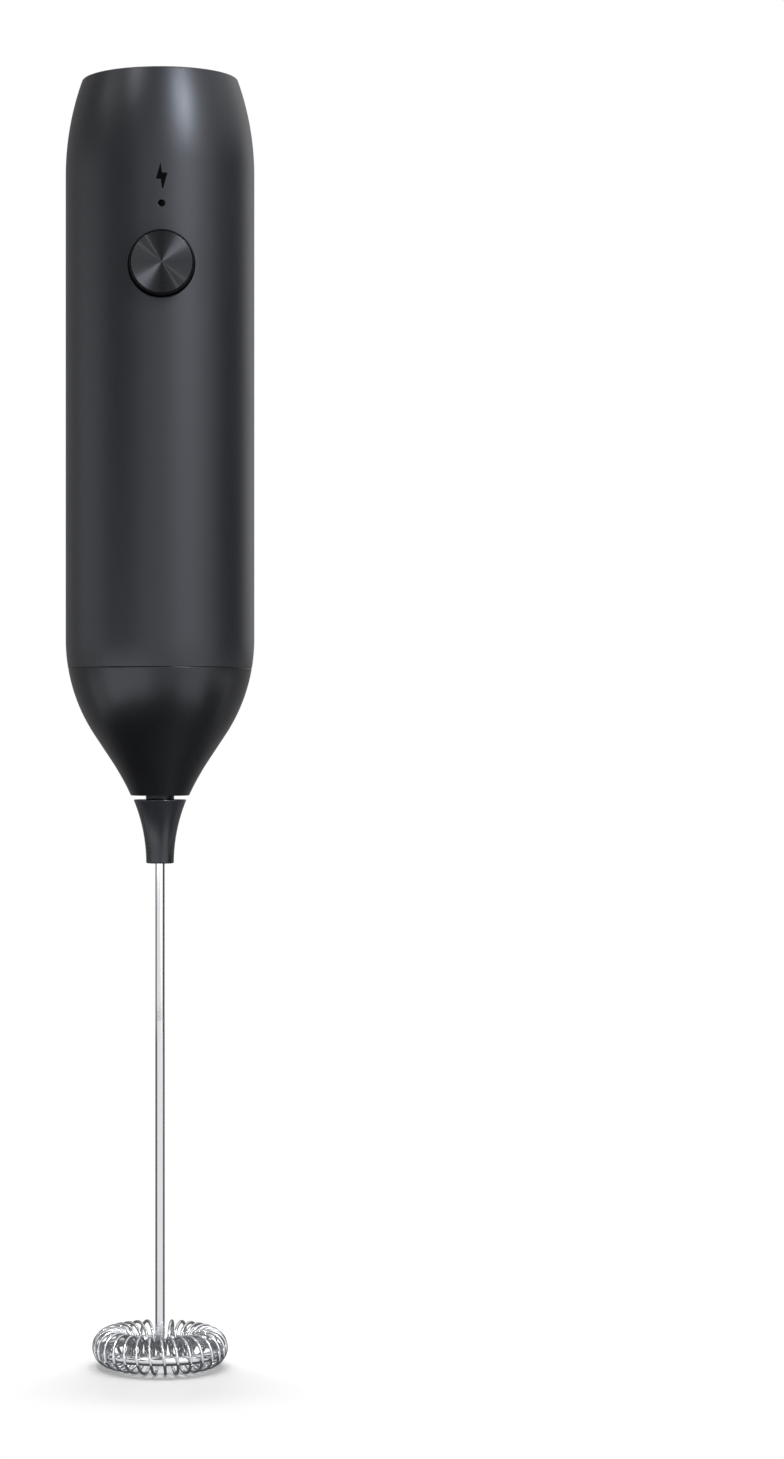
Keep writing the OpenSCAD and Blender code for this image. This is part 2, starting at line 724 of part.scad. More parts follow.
module inner_frame() color([0.82, 0.82, 0.8]) difference() {
    union() {
        // Base plate on the nose's spigot, and a pillar on each side of the motor
        translate([0, 0, spigot_top]) difference() {
            cylinder(r = frame_r, h = base_t);
            translate([0, 0, -past])
                flatted(motor_r + motor_space, motor_flat / 2 + motor_space, base_t + 2 * past);
        }
        for (s = [-1, 1]) translate([s * (pillar_x + pillar_t / 2), 0, spigot_top])
            translate([-pillar_t / 2, -pillar_w / 2, 0])
                cube([pillar_t, pillar_w, tray_z + tray_t - spigot_top]);
        cross_wall(tray_z, tray_t, frame_r);
        cross_wall(tray_top, tray_t, inner_r_at(frame_top) - frame_clear);
        // The tray itself, open towards the back
        difference() {
            translate([-tray_half, -board_back, tray_z])
                cube([2 * tray_half, board_back + cell_y, frame_top - tray_z]);
            translate([0, cell_y, tray_z + tray_t])
                cylinder(r = cell_r + cell_clear, h = tray_top - tray_z - tray_t);
        }
    }
    // Openings in the side walls, and the slots that the cell's tabs pass through
    for (i = [0:window_count - 1])
        translate([-tray_half - past, cell_y - window_front,
            cell_z + cell_len * (i + 0.5) / window_count - window_size[1] / 2])
            cube([2 * (tray_half + past), window_size[0], window_size[1]]);
    for (z = [cell_z - tab_t, cell_top])
        translate([-tab_w / 2 - tab_clear, -board_back - past, z])
            cube([tab_w + 2 * tab_clear, board_back + past, tab_t + tab_clear]);
    for (s = [-1, 1]) translate([0, s * screw_y, spigot_top - past])
        cylinder(r = frame_screw[2] + screw_clear, h = base_t + 2 * past);
    for (z = board_screw_rows, s = [-1, 1]) translate([s * board_screw_w / 2, 0, 0])
        facing(z) translate([0, 0, board_front - board_screw[3]])
            cylinder(r = board_screw[2], h = board_screw[3]);
}

module frame_screws() color([0.7, 0.7, 0.72])
    for (s = [-1, 1]) translate([0, s * screw_y, spigot_top + base_t]) screw(frame_screw);

module board_screws() color([0.7, 0.7, 0.72])
    for (z = board_screw_rows, s = [-1, 1]) translate([s * board_screw_w / 2, 0, 0])
        facing(z) translate([0, 0, board_front]) screw(board_screw);

module circuit_board() color([0.05, 0.3, 0.16]) difference() {
    translate([0, -board_back, 0]) rotate([90, 0, 0]) linear_extrude(board_t) difference() {
        translate([-board_w / 2, board_z]) square([board_w, board_top - board_z]);
        for (x = [-1, 1], z = [board_z, board_top]) translate([x * board_w / 2, z])
            circle(r = board_corner, $fn = 4);
    }
    for (z = board_screw_rows, s = [-1, 1]) translate([s * board_screw_w / 2, 0, 0])
        facing(z) cylinder(r = board_screw[2] + screw_clear, h = handle_r);
}

// A block on the board's front, hung from a height: its place [x, drop] and its size
module on_board(z, place, size) {
    translate([place[0] - size[0] / 2, -board_front - size[2], z - place[1] - size[1] / 2])
        cube([size[0], size[2], size[1]]);
}

module board_components() color([0.12, 0.12, 0.12]) {
    on_board(board_top, charger_at, charger_size);
    on_board(board_top, coil_at, coil_size);
    on_board(led_z, processor_at, processor_size);
    on_board(button_z, driver_at, driver_size);
    for (i = [0:3]) on_board(board_top, [capacitor_at[0] + capacitor_step * i, capacitor_at[1]],
        capacitor_size);
    for (i = [0:1]) on_board(led_z, [resistor_at[0], resistor_at[1] - resistor_step * i],
        resistor_size);
}

module usb_shell() color([0.75, 0.75, 0.77]) translate([0, usb_y, usb_z]) difference() {
    linear_extrude(usb_len) slot_shape(usb_w, usb_h, 0);
    translate([0, 0, usb_t]) linear_extrude(usb_len) slot_shape(usb_w, usb_h, -usb_t);
}

module usb_tongue() color([0.1, 0.1, 0.11])
    translate([-tongue_w / 2, usb_y - tongue_t / 2, usb_z + usb_t])
        cube([tongue_w, tongue_t, usb_len - usb_t - tongue_short]);

module status_led() color([0.9, 0.9, 0.75]) facing(led_z)
    translate([-led_size[0] / 2, -led_size[1] / 2, board_front])
        cube([led_size[0], led_size[1], led_depth]);

module light_pipe() color([0.12, 0.12, 0.13]) facing(led_z) {
    translate([0, 0, pipe_start]) cylinder(r = pipe_d / 2, h = pipe_shoulder - pipe_start);
    translate([0, 0, pipe_start]) cylinder(r = window_d / 2, h = handle_r - window_sink - pipe_start);
}

module switch_body() color([0.15, 0.15, 0.15]) facing(button_z) difference() {
    union() {
        translate([-switch_w / 2, -switch_w / 2, board_front])
            cube([switch_w, switch_w, switch_depth - 0.3]);
        // The steel cover plate's raised ring round the plunger
        translate([0, 0, board_front]) cylinder(r = switch_w / 2 - 0.3, h = switch_depth);
    }
    translate([0, 0, switch_out - switch_hole_depth])
        cylinder(r = plunger_d / 2 + plunger_clear, h = switch_hole_depth + past);
}

module switch_plunger() color([0.55, 0.5, 0.42]) facing(button_z)
    translate([0, 0, switch_out - plunger_depth])
        cylinder(r = plunger_d / 2, h = plunger_depth + plunger_out);

module button_cap() color([0.06, 0.06, 0.065]) facing(button_z) difference() {
    union() {
        turned([
            [0, flange_out - flange_t], [flange_r, flange_out - flange_t], [flange_r, flange_out],
            [button_r, flange_out], [button_r, button_out - button_chamfer],
            [button_r - button_chamfer, button_out], [0, button_out]
        ]);
        translate([0, 0, plunger_end]) cylinder(r = stem_d / 2, h = button_out - plunger_end - disc_t);
    }
    translate([0, 0, button_out - disc_t]) cylinder(r = disc_d / 2, h = disc_t + past);
    translate([0, 0, flange_out - flange_t - past])
        tube(button_r - cup_wall, stem_d / 2, button_out - cup_roof - flange_out + flange_t + past);
}

module button_disc() color([0.78, 0.79, 0.8]) facing(button_z)
    translate([0, 0, button_out - disc_t])
        turned([[0, 0], [disc_d / 2, 0], [disc_d / 2, disc_t - disc_edge],
            [disc_d / 2 - disc_edge, disc_t], [0, disc_t]]);

module battery_cell() color([0.1, 0.35, 0.7]) translate([0, cell_y, cell_z])
    turned(concat(
        [[0, 0], [cell_r - cell_edge, 0], [cell_r, cell_edge]],
        [for (p = cell_neck) [cell_r - p[0], cell_len - p[1]]],
        [[cell_button_r[0], cell_len - cell_neck[4][1]], [cell_button_r[1], cell_len], [0, cell_len]]
    ));

module battery_tabs() color([0.75, 0.74, 0.7]) {
    lower_end = board_front + tab_past;
    for (part = [[lower_end, cell_z - tab_t], [board_back, cell_top]])
        translate([-tab_w / 2, -part[0], part[1]]) cube([tab_w, part[0] + cell_y + tab_reach, tab_t]);
}

module battery_pad() color([0.2, 0.2, 0.2]) translate([0, cell_y, cell_top + tab_t])
    cylinder(d = pad_d, h = pad_t);

// An insulated lead, along points of which the first two set where it starts
module lead(path) wire(path, [for (p = path) [1, 0.02, 0.01]], lead_r, lead_sides);

// How a lead climbs the front of the tray and lies down on the foot of the board, at one x
function lead_climb(x, from_z) =
    let (front = -board_back - lead_r - lead_gap, on = -board_front - lead_r)
    [[x, front, from_z], [x, front, board_z - lean[0]], [x, (front + on) / 2, board_z - lean[1]],
     [x, on, board_z - lean[2]], [x, on, board_z + lead_end]];

module battery_lead() color([0.08, 0.08, 0.08]) lead(lead_climb(climb_x[2], cell_z));

module motor_leads() color([0.75, 0.08, 0.06]) {
    away = terminal_y + leaf_t / 2 + lead_r;
    z = motor_top + rear_boss_h + lead_r + lead_gap / 2;
    lead(concat([for (p = short_lead) [p[0], p[1] - away, z]],
        lead_climb(climb_x[0], tray_z - climb_start)));
    lead(concat([for (p = long_lead) [p[0], p[1] + away, z]],
        [for (p = long_lead_side) [p[0], p[1], z]],
        [[long_lead_in[0], long_lead_in[1] - board_back, z]],
        lead_climb(climb_x[1], tray_z - climb_start)));
}

module motor_can() color([0.68, 0.69, 0.7]) translate([0, 0, motor_z]) difference() {
    union() {
        flatted(motor_r, motor_flat / 2, can_len);
        translate([0, 0, -front_boss_h]) cylinder(d = boss_d, h = front_boss_h + can_wall);
    }
    translate([0, 0, can_wall]) flatted(can_in, flat_in, can_len);
    translate([0, 0, -front_boss_h - past])
        cylinder(d = bushing_d, h = front_boss_h + can_wall + 2 * past);
}

module motor_magnets() color([0.2, 0.2, 0.22])
    translate([0, 0, motor_z + can_wall + magnet_lift]) for (side = [0, 180])
        rotate([0, 0, side - magnet_half_angle]) rotate_extrude(angle = 2 * magnet_half_angle)
            translate([can_in - magnet_t, 0]) square([magnet_t, magnet_len]);

module motor_end_bell() color([0.9, 0.88, 0.8]) translate([0, 0, bell_z]) difference() {
    union() {
        flatted(motor_r, motor_flat / 2, bell_len);
        cylinder(d = boss_d, h = bell_len + rear_boss_h);
    }
    translate([0, 0, -past])
        flatted(motor_r - bell_side, motor_flat / 2 - bell_side, bell_len - bell_wall + past);
    cylinder(d = bushing_d, h = bell_len + rear_boss_h + past);
    for (s = [-1, 1]) translate([-terminal_w / 2, s * terminal_y - leaf_t / 2, 0])
        cube([terminal_w, leaf_t, bell_len + past]);
}

module motor_brushes() color([0.6, 0.4, 0.2]) for (turn = [0, 180]) rotate([0, 0, turn]) {
    // A carbon block that bears on the commutator, on a springy copper leaf
    translate([-brush_w / 2, commutator_d / 2 + brush_gap, bell_z + brush_lift])
        cube([brush_w, brush_t, brush_h]);
    translate([-leaf_w / 2, commutator_d / 2 + brush_gap + brush_t, bell_z])
        cube([leaf_w, leaf_t, bell_len - bell_wall]);
}

module motor_terminals() color([0.8, 0.65, 0.3]) for (s = [-1, 1])
    translate([-terminal_w / 2, s * terminal_y - leaf_t / 2, bell_z + bell_len - bell_wall])
        cube([terminal_w, leaf_t, bell_wall + terminal_h]);

module front_bushing() color([0.7, 0.5, 0.3]) translate([0, 0, motor_z - front_boss_h])
    tube(bushing_d / 2, shaft_d / 2 + shaft_clear, front_boss_h + can_wall);

module rear_bushing() color([0.7, 0.5, 0.3]) translate([0, 0, bell_z + bell_len - bell_wall])
    tube(bushing_d / 2, shaft_d / 2 + shaft_clear, bell_wall + rear_boss_h);

module motor_gasket() color([0.12, 0.12, 0.12]) translate([0, 0, seat_z])
    tube(motor_flat / 2 - gasket_clear, boss_d / 2 + 2 * gasket_clear, gasket_t);

module shaft_seal() color([0.3, 0.1, 0.08]) translate([0, 0, seal_z]) difference() {
    tube(seal_d / 2, shaft_d / 2 + lip_clear, seal_h);
    translate([0, 0, seal_h / 2]) tube(seal_d / 2 - seal_wall, shaft_d / 2 + lip_t, seal_h);
}

module motor_shaft() color([0.8, 0.8, 0.82]) translate([0, 0, shaft_end])
    cylinder(d = shaft_d, h = motor_top + rear_boss_h - 0.1 - shaft_end);

module armature_core() color([0.45, 0.45, 0.47]) translate([0, 0, core_z]) linear_extrude(core_len)
    difference() {
        union() {
            circle(r = hub_core_r);
            for (i = [0:pole_count - 1]) rotate(360 * i / pole_count) {
                translate([0, -tooth_w / 2]) square([core_r - shoe_t / 2, tooth_w]);
                intersection() {
                    difference() {
                        circle(r = core_r);
                        circle(r = core_r - shoe_t);
                    }
                    polygon([[0, 0], 2 * core_r * [cos(shoe_half_angle), -sin(shoe_half_angle)],
                        2 * core_r * [cos(shoe_half_angle), sin(shoe_half_angle)]]);
                }
            }
        }
        circle(d = shaft_d);
    }

module armature_windings() color([0.72, 0.38, 0.15]) {
    half_w = tooth_w / 2 + winding_t;
    start = hub_core_r + 0.3;
    end = sqrt(pow(core_r - shoe_t - 0.05, 2) - pow(half_w, 2));
    for (i = [0:pole_count - 1]) rotate([0, 0, 360 * i / pole_count]) difference() {
        translate([start, -half_w, core_z - winding_t])
            cube([end - start, 2 * half_w, core_len + 2 * winding_t]);
        translate([0, -tooth_w / 2, core_z]) cube([core_r, tooth_w, core_len]);
    }
}

module commutator() color([0.8, 0.5, 0.25]) translate([0, 0, commutator_z]) difference() {
    tube(commutator_d / 2, shaft_d / 2, commutator_len);
    for (i = [0:pole_count - 1]) rotate([0, 0, 360 * (i + 0.5) / pole_count])
        translate([commutator_d / 2 - slot_depth, -slot_w / 2, -past])
            cube([past, slot_w, commutator_len + 2 * past]);
}

// A hexagonal bar or socket
module hexagon(w, h) cylinder(d = w / cos(30), h = h, $fn = 6);

module drive_hub() color([0.2, 0.2, 0.21]) difference() {
    union() {
        translate([0, 0, neck_end]) cylinder(d = neck_d, h = hub_top - neck_end);
        translate([0, 0, plug_end]) hexagon(hex_w, plug_len + past);
    }
    translate([0, 0, shaft_end]) cylinder(d = shaft_d, h = hub_grip + past);
}

module whisk_sleeve() color([0.12, 0.12, 0.13]) difference() {
    turned(concat(
        [[0, sleeve_end], [sleeve_end_r - sleeve_edge, sleeve_end]],
        [for (p = arc([sleeve_end_r + sleeve_flare_r, sleeve_end], sleeve_flare_r,
            180, 180 - asin(sleeve_len / sleeve_flare_r))) [p[0], max(p[1], sleeve_end + sleeve_edge)]],
        [[0, neck_end]]
    ));
    translate([0, 0, plug_end - socket_extra])
        hexagon(hex_w + 2 * plug_clear, plug_len + socket_extra + past);
    translate([0, 0, sleeve_end - past]) cylinder(d = wire_d, h = wire_hold + past);
}

// Part of a ring of wire, in the plane z = 0 and centred on the origin
module wire_bend(r, from, sweep) rotate([0, 0, from]) rotate_extrude(angle = sweep)
    translate([r, 0]) circle(r = wire_r);

module whisk_shaft() color([0.82, 0.83, 0.84]) {
    // Straight down the axis, then a bend into the arm
    translate([0, 0, ring_z + bend_r])
        cylinder(r = wire_r, h = sleeve_end + wire_hold - ring_z - bend_r);
    rotate([0, 0, arm_turn]) {
        translate([bend_r, 0, ring_z + bend_r]) rotate([90, 0, 0]) wire_bend(bend_r, 180, 90);
        translate([bend_r, 0, ring_z]) rotate([0, 90, 0]) cylinder(r = wire_r, h = arm_len - bend_r);
        // The corner from the arm into the ring, and the ring itself
        translate([arm_len, bend_r, ring_z]) wire_bend(bend_r, -90, 90 + corner_turn);
        translate([0, 0, ring_z]) rotate([0, 0, corner_turn]) {
            translate([ring_r, -corner_len, 0]) rotate([-90, 0, 0]) cylinder(r = wire_r, h = corner_len);
            wire_bend(ring_r, 0, 360 - ring_end_angle - corner_turn);
        }
    }
}

module whisk_coil() color([0.85, 0.86, 0.87]) {
    steps = [for (i = [0:coil_turns * strand_steps]) 360 * i / strand_steps];
    path = [for (t = steps) strand(t)];
    side = [for (t = steps) strand(t) - strand_middle(t)];
    wire(path, side, strand_r, strand_sides);
}

handle_shell();
end_cap();
nose_cone();
nose_seal_ring();
inner_frame();
frame_screws();
board_screws();
circuit_board();
board_components();
usb_shell();
usb_tongue();
status_led();
light_pipe();
switch_body();
switch_plunger();
button_cap();
button_disc();
battery_cell();
battery_tabs();
battery_pad();
battery_lead();
motor_can();
motor_magnets();
motor_end_bell();
motor_brushes();
motor_terminals();
motor_leads();
front_bushing();
rear_bushing();
motor_gasket();
shaft_seal();
motor_shaft();
armature_core();
armature_windings();
commutator();
drive_hub();
whisk_sleeve();
whisk_shaft();
whisk_coil();
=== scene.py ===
"""Dressed model of a rechargeable milk frother: a slim painted handle with a push button, a tapered nose,
and a pull-off whisk whose coil is wound on a ring of polished wire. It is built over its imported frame."""

import json
import logging
import math
from collections.abc import Callable
from dataclasses import dataclass
from enum import Enum

import bmesh
import bpy
import numpy as np
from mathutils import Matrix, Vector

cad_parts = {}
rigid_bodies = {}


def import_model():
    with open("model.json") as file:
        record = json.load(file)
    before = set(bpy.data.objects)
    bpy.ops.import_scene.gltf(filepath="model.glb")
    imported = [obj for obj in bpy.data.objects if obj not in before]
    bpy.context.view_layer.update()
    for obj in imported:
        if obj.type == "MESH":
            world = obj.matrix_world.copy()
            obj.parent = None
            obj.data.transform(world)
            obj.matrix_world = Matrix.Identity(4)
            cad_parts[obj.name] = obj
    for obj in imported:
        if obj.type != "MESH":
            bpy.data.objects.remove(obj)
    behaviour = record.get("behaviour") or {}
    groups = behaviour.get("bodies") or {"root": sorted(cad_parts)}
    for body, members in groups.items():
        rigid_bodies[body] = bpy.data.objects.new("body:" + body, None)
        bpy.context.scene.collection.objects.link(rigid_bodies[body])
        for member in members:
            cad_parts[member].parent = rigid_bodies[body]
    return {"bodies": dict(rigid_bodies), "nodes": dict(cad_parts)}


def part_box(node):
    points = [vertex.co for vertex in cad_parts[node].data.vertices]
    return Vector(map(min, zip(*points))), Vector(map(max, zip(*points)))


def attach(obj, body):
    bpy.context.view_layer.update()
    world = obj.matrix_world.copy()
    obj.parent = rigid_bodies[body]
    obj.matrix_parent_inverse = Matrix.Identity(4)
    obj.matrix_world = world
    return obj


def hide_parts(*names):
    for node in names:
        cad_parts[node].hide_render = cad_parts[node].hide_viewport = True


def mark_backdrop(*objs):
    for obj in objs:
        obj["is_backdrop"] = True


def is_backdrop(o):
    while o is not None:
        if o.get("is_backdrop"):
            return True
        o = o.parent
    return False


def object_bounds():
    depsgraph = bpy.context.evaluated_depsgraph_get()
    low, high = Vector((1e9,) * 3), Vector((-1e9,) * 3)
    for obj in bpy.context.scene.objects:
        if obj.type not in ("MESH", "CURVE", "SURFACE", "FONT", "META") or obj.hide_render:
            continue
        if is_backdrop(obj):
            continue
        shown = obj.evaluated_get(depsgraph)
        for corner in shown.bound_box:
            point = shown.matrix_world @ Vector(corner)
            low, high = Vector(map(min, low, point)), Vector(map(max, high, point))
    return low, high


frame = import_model()
frame_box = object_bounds()

log = logging.getLogger("milk_frother")
MM = 0.001
Colour = tuple[float, float, float]


# ---------------------------------------------------------------- shapes, in millimetres

@dataclass
class Surface:
    """A mesh as arrays.

    Attributes:
        points: One row of x, y, z for each vertex, in millimetres.
        quads: One row of four vertex numbers for each face.
    """

    points: np.ndarray
    quads: np.ndarray

    def joined(self, *others: "Surface") -> "Surface":
        """Puts several surfaces into one mesh, without merging their points.

        Args:
            others: The surfaces to add.

        Returns:
            One surface that holds all of them.
        """
        parts = (self, *others)
        starts = np.cumsum([0] + [len(p.points) for p in parts[:-1]])
        return Surface(np.vstack([p.points for p in parts]),
                       np.vstack([p.quads + s for p, s in zip(parts, starts)]))

    def faces(self) -> tuple[np.ndarray, list[list[int]]]:
        """Merges points closer than a tenth of a micrometre, and drops the edges that vanish by it.

        Returns:
            The merged points, and the faces as lists of three or four point numbers.
        """
        keys = np.round(self.points * 1e4).astype(np.int64)
        _, first, index = np.unique(keys, axis=0, return_index=True, return_inverse=True)
        quads = index.reshape(-1)[self.quads]
        kept = quads != np.roll(quads, -1, axis=1)
        whole = quads[kept.sum(axis=1) == 4]
        thin = kept.sum(axis=1) == 3
        triangles = quads[thin][kept[thin]].reshape(-1, 3)
        return self.points[first], triangles.tolist() + whole.tolist()


def grid_quads(rows: int, columns: int, closed_rows: bool, closed_columns: bool) -> np.ndarray:
    """Faces of a grid whose points are numbered row by row.

    Args:
        rows: Number of rows of points.
        columns: Number of points in each row.
        closed_rows: Whether the last row joins the first.
        closed_columns: Whether the last point of a row joins its first.

    Returns:
        An array of rows x columns x 4 point numbers, for the faces that start at each point.
    """
    i, j = np.meshgrid(np.arange(rows if closed_rows else rows - 1),
                       np.arange(columns if closed_columns else columns - 1), indexing="ij")
    up, along = (i + 1) % rows, (j + 1) % columns
    return np.stack([i * columns + j, i * columns + along, up * columns + along, up * columns + j], axis=-1)


def loft(rings: np.ndarray, closed: bool = False) -> Surface:
    """A skin over closed rings, an array of rings x points x 3. Where closed, the last ring joins the first."""
    quads = grid_quads(rings.shape[0], rings.shape[1], closed, True)
    return Surface(rings.reshape(-1, 3), quads.reshape(-1, 4))


def turns(count: int) -> np.ndarray:
    """Equal angles round a full turn, from 0, in radians."""
    return 2 * np.pi * np.arange(count) / count


def polar(r: np.ndarray | float, a: np.ndarray, z: np.ndarray | float) -> np.ndarray:
    """Points round the Z axis, with the angle taken from X: (r cos a, r sin a, z)."""
    return np.stack([r * np.cos(a), r * np.sin(a), z + 0 * a], axis=-1)


def from_front(r: np.ndarray | float, a: np.ndarray, z: np.ndarray | float) -> np.ndarray:
    """Points round the Z axis, with the angle taken from the front, -Y: (r sin a, -r cos a, z)."""
    return np.stack([r * np.sin(a), -r * np.cos(a), z + 0 * a], axis=-1)


def on_tube(x: np.ndarray, r: float, z: np.ndarray, sink: float = 0.0) -> np.ndarray:
    """Points on the front of a tube of radius r, sunk towards its axis: (x, sink - sqrt(r^2 - x^2), z)."""
    return np.stack([x, -np.sqrt(r ** 2 - x ** 2) + sink, z], axis=-1)


def revolve(outline: np.ndarray, count: int, closed: bool = False) -> Surface:
    """An outline of (r, z) rows carried round the Z axis in count steps. Where closed, its end joins its start."""
    return loft(from_front(outline[:, :1], turns(count), outline[:, 1:]), closed)


def facing(surface: Surface, height: float) -> Surface:
    """Turns a surface's Z axis to point out of the handle's front: (x, y, h) becomes (x, -h, y + height)."""
    x, y, h = surface.points.T
    return Surface(np.stack([x, -h, y + height], axis=-1), surface.quads)


def arc(centre: tuple[float, float], r: float, start: float, end: float, count: int) -> np.ndarray:
    """Points on a circle between two angles in degrees, as an array of count x 2: centre + r (cos t, sin t)."""
    t = np.radians(np.linspace(start, end, count))
    return np.stack([centre[0] + r * np.cos(t), centre[1] + r * np.sin(t)], axis=-1)


def plain(points: np.ndarray) -> list[tuple[float, float, float]]:
    """Points of an outline as corners that stay sharp."""
    return [(*p, 0) for p in points]


def rounded(corners: list[tuple[float, float, float]], closed: bool = False, steps: int = 5) -> np.ndarray:
    """An outline whose corners are rounded. Each corner gives way to an arc that touches both its sides, with a
    point just before and after the arc, which keeps the shading of the flat sides clean.

    Args:
        corners: Rows of (r, z, fillet radius). A radius of 0 keeps the corner as it is.
        closed: Whether the outline's end joins its start.
        steps: Number of steps in each arc.

    Returns:
        The outline as rows of (r, z).
    """
    count = len(corners)
    made = []
    for i, (x, y, fillet) in enumerate(corners):
        here = np.array([x, y])
        if fillet <= 0 or (not closed and i in (0, count - 1)):
            made.append(here[None])
            continue
        before = np.array(corners[i - 1][:2]) - here
        after = np.array(corners[(i + 1) % count][:2]) - here
        u, v = before / np.linalg.norm(before), after / np.linalg.norm(after)
        half = math.acos(float(np.clip(u @ v, -1, 1))) / 2
        reach = fillet / math.tan(half)
        centre = here + (u + v) / np.linalg.norm(u + v) * fillet / math.sin(half)
        a, b = here + u * reach - centre, here + v * reach - centre
        t = np.linspace(0, 1, steps + 1)[:, None]
        angle = math.pi - 2 * half
        bow = (np.sin((1 - t) * angle) * a + np.sin(t * angle) * b) / math.sin(angle)
        guard = min(0.15 * fillet, 0.05)
        made += [(here + u * (reach + guard))[None], centre + bow, (here + v * (reach + guard))[None]]
    return np.vstack(made)


def sweep(path: np.ndarray, side: np.ndarray, radius: np.ndarray, sides: int) -> Surface:
    """A round bar along a path: at each point a circle of the given radius stands square to the path.

    Args:
        path: Points along the bar, n x 3.
        side: A direction that is never along the path, one for each point.
        radius: The bar's radius at each point. Zero closes an end.
        sides: Number of points round the bar.

    Returns:
        The bar.
    """
    ahead = np.gradient(path, axis=0)
    ahead /= np.linalg.norm(ahead, axis=1, keepdims=True)
    a = np.cross(ahead, side)
    a /= np.linalg.norm(a, axis=1, keepdims=True)
    b = np.cross(a, ahead)
    t = turns(sides)[None, :, None]
    rings = path[:, None] + radius[:, None, None] * (np.cos(t) * a[:, None] + np.sin(t) * b[:, None])
    return loft(rings)


def round_ends(path: np.ndarray, side: np.ndarray, r: float, steps: int) -> tuple[np.ndarray, ...]:
    """Adds a rounded end to each end of a bar: past the end the radius falls as r cos t while the path goes on by
    r sin t.

    Args:
        path: Points along the bar.
        side: The directions that go with them.
        r: The bar's radius.
        steps: Number of steps in each end.

    Returns:
        The path, the directions and the radii with the ends added.
    """
    t = np.linspace(0, np.pi / 2, steps + 1)[1:, None]
    first, last = path[0] - path[1], path[-1] - path[-2]
    first, last = first / np.linalg.norm(first), last / np.linalg.norm(last)
    head, tail = (path[0] + r * np.sin(t) * first)[::-1], path[-1] + r * np.sin(t) * last
    ends = r * np.cos(t[:, 0])
    return (np.vstack([head, path, tail]),
            np.vstack([np.repeat(side[:1], steps, 0), side, np.repeat(side[-1:], steps, 0)]),
            np.concatenate([ends[::-1], np.full(len(path), r), ends]))


def circle_ring(r: float, z: float, count: int, start: float = 0.0) -> np.ndarray:
    """A circle of points round the axis, from the angle start in radians, as an array of count x 3."""
    return polar(r, turns(count) + start, z)


def slot_ring(width: float, height: float, grow: float, z: float, count: int) -> np.ndarray:
    """A ring with straight long sides and round ends: a half circle at each end, joined by straight lines.

    Args:
        width: Its width over the round ends.
        height: Its height.
        grow: How far the ring stands outside that size.
        z: Its height above the ground.
        count: Number of points, a multiple of 4.

    Returns:
        An array of count x 3 points.
    """
    ring = circle_ring(height / 2 + grow, z, count, np.pi / count)
    ring[:, 0] += np.sign(ring[:, 0]) * (width - height) / 2
    return ring


def hexagon_ring(across: float, z: float, count: int, soft: float = 0.12) -> np.ndarray:
    """A ring with six sides: the radius is half the width over the flats divided by the cosine of the angle from the
    nearest flat, held back near the corners.

    Args:
        across: Width over the flats.
        z: Height of the ring.
        count: Number of points.
        soft: Share of each half side over which the corner is held back.

    Returns:
        An array of count x 3 points.
    """
    a = turns(count)
    off = np.abs((a + np.pi / 6) % (np.pi / 3) - np.pi / 6)
    return polar(across / 2 / np.cos(np.minimum(off, np.pi / 6 * (1 - soft))), a, z)


# ---------------------------------------------------------------- objects and the frame

def node_box(name: str) -> tuple[np.ndarray, np.ndarray]:
    """The lowest and highest corners of a frame node, in millimetres."""
    low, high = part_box(name)
    return np.array(low) / MM, np.array(high) / MM


def middle(name: str) -> np.ndarray:
    """The middle of a frame node's box, in millimetres."""
    return sum(node_box(name)) / 2


def add_object(name: str, data: bpy.types.ID) -> bpy.types.Object:
    """Puts an object at the origin of the scene.

    Args:
        name: Its name.
        data: Its mesh, light or camera.

    Returns:
        The object.
    """
    made = bpy.data.objects.new(name, data)
    bpy.context.scene.collection.objects.link(made)
    return made


def add_mesh(name: str, points: np.ndarray, faces: list[list[int]]) -> bpy.types.Object:
    """Puts an object with a new mesh at the origin of the scene.

    Args:
        name: Its name.
        points: The mesh's points, in metres.
        faces: Its faces, as lists of point numbers.

    Returns:
        The object.
    """
    mesh = bpy.data.meshes.new(name)
    mesh.from_pydata(points.tolist(), [], faces)
    return add_object(name, mesh)


def add_piece(name: str, surface: Surface, finish: "Finish", body: str, slot: str, *replaces: str,
              sharp: float = 38) -> bpy.types.Object:
    """Makes a smooth-shaded object from a surface, dresses it, puts it on its body and hides the frame nodes it
    replaces.

    Args:
        name: The piece's name.
        surface: Its shape, in millimetres.
        finish: How it looks.
        body: The frame body it moves with.
        slot: The record's material slot. Not used.
        replaces: The frame nodes it stands for.
        sharp: Edges that bend by more than this many degrees stay crisp.

    Returns:
        The object, at the origin.
    """
    points, faces = surface.faces()
    piece = add_mesh(name, points * MM, faces)
    mesh = piece.data
    shape = bmesh.new()
    shape.from_mesh(mesh)
    bmesh.ops.recalc_face_normals(shape, faces=shape.faces)
    shape.to_mesh(mesh)
    shape.free()
    mesh.polygons.foreach_set("use_smooth", np.ones(len(mesh.polygons), bool))
    mesh.set_sharp_from_angle(angle=math.radians(sharp))
    mesh.update()
    finish.dress(piece)
    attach(piece, body)
    if replaces:
        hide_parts(*replaces)
    return piece


# ---------------------------------------------------------------- nodes

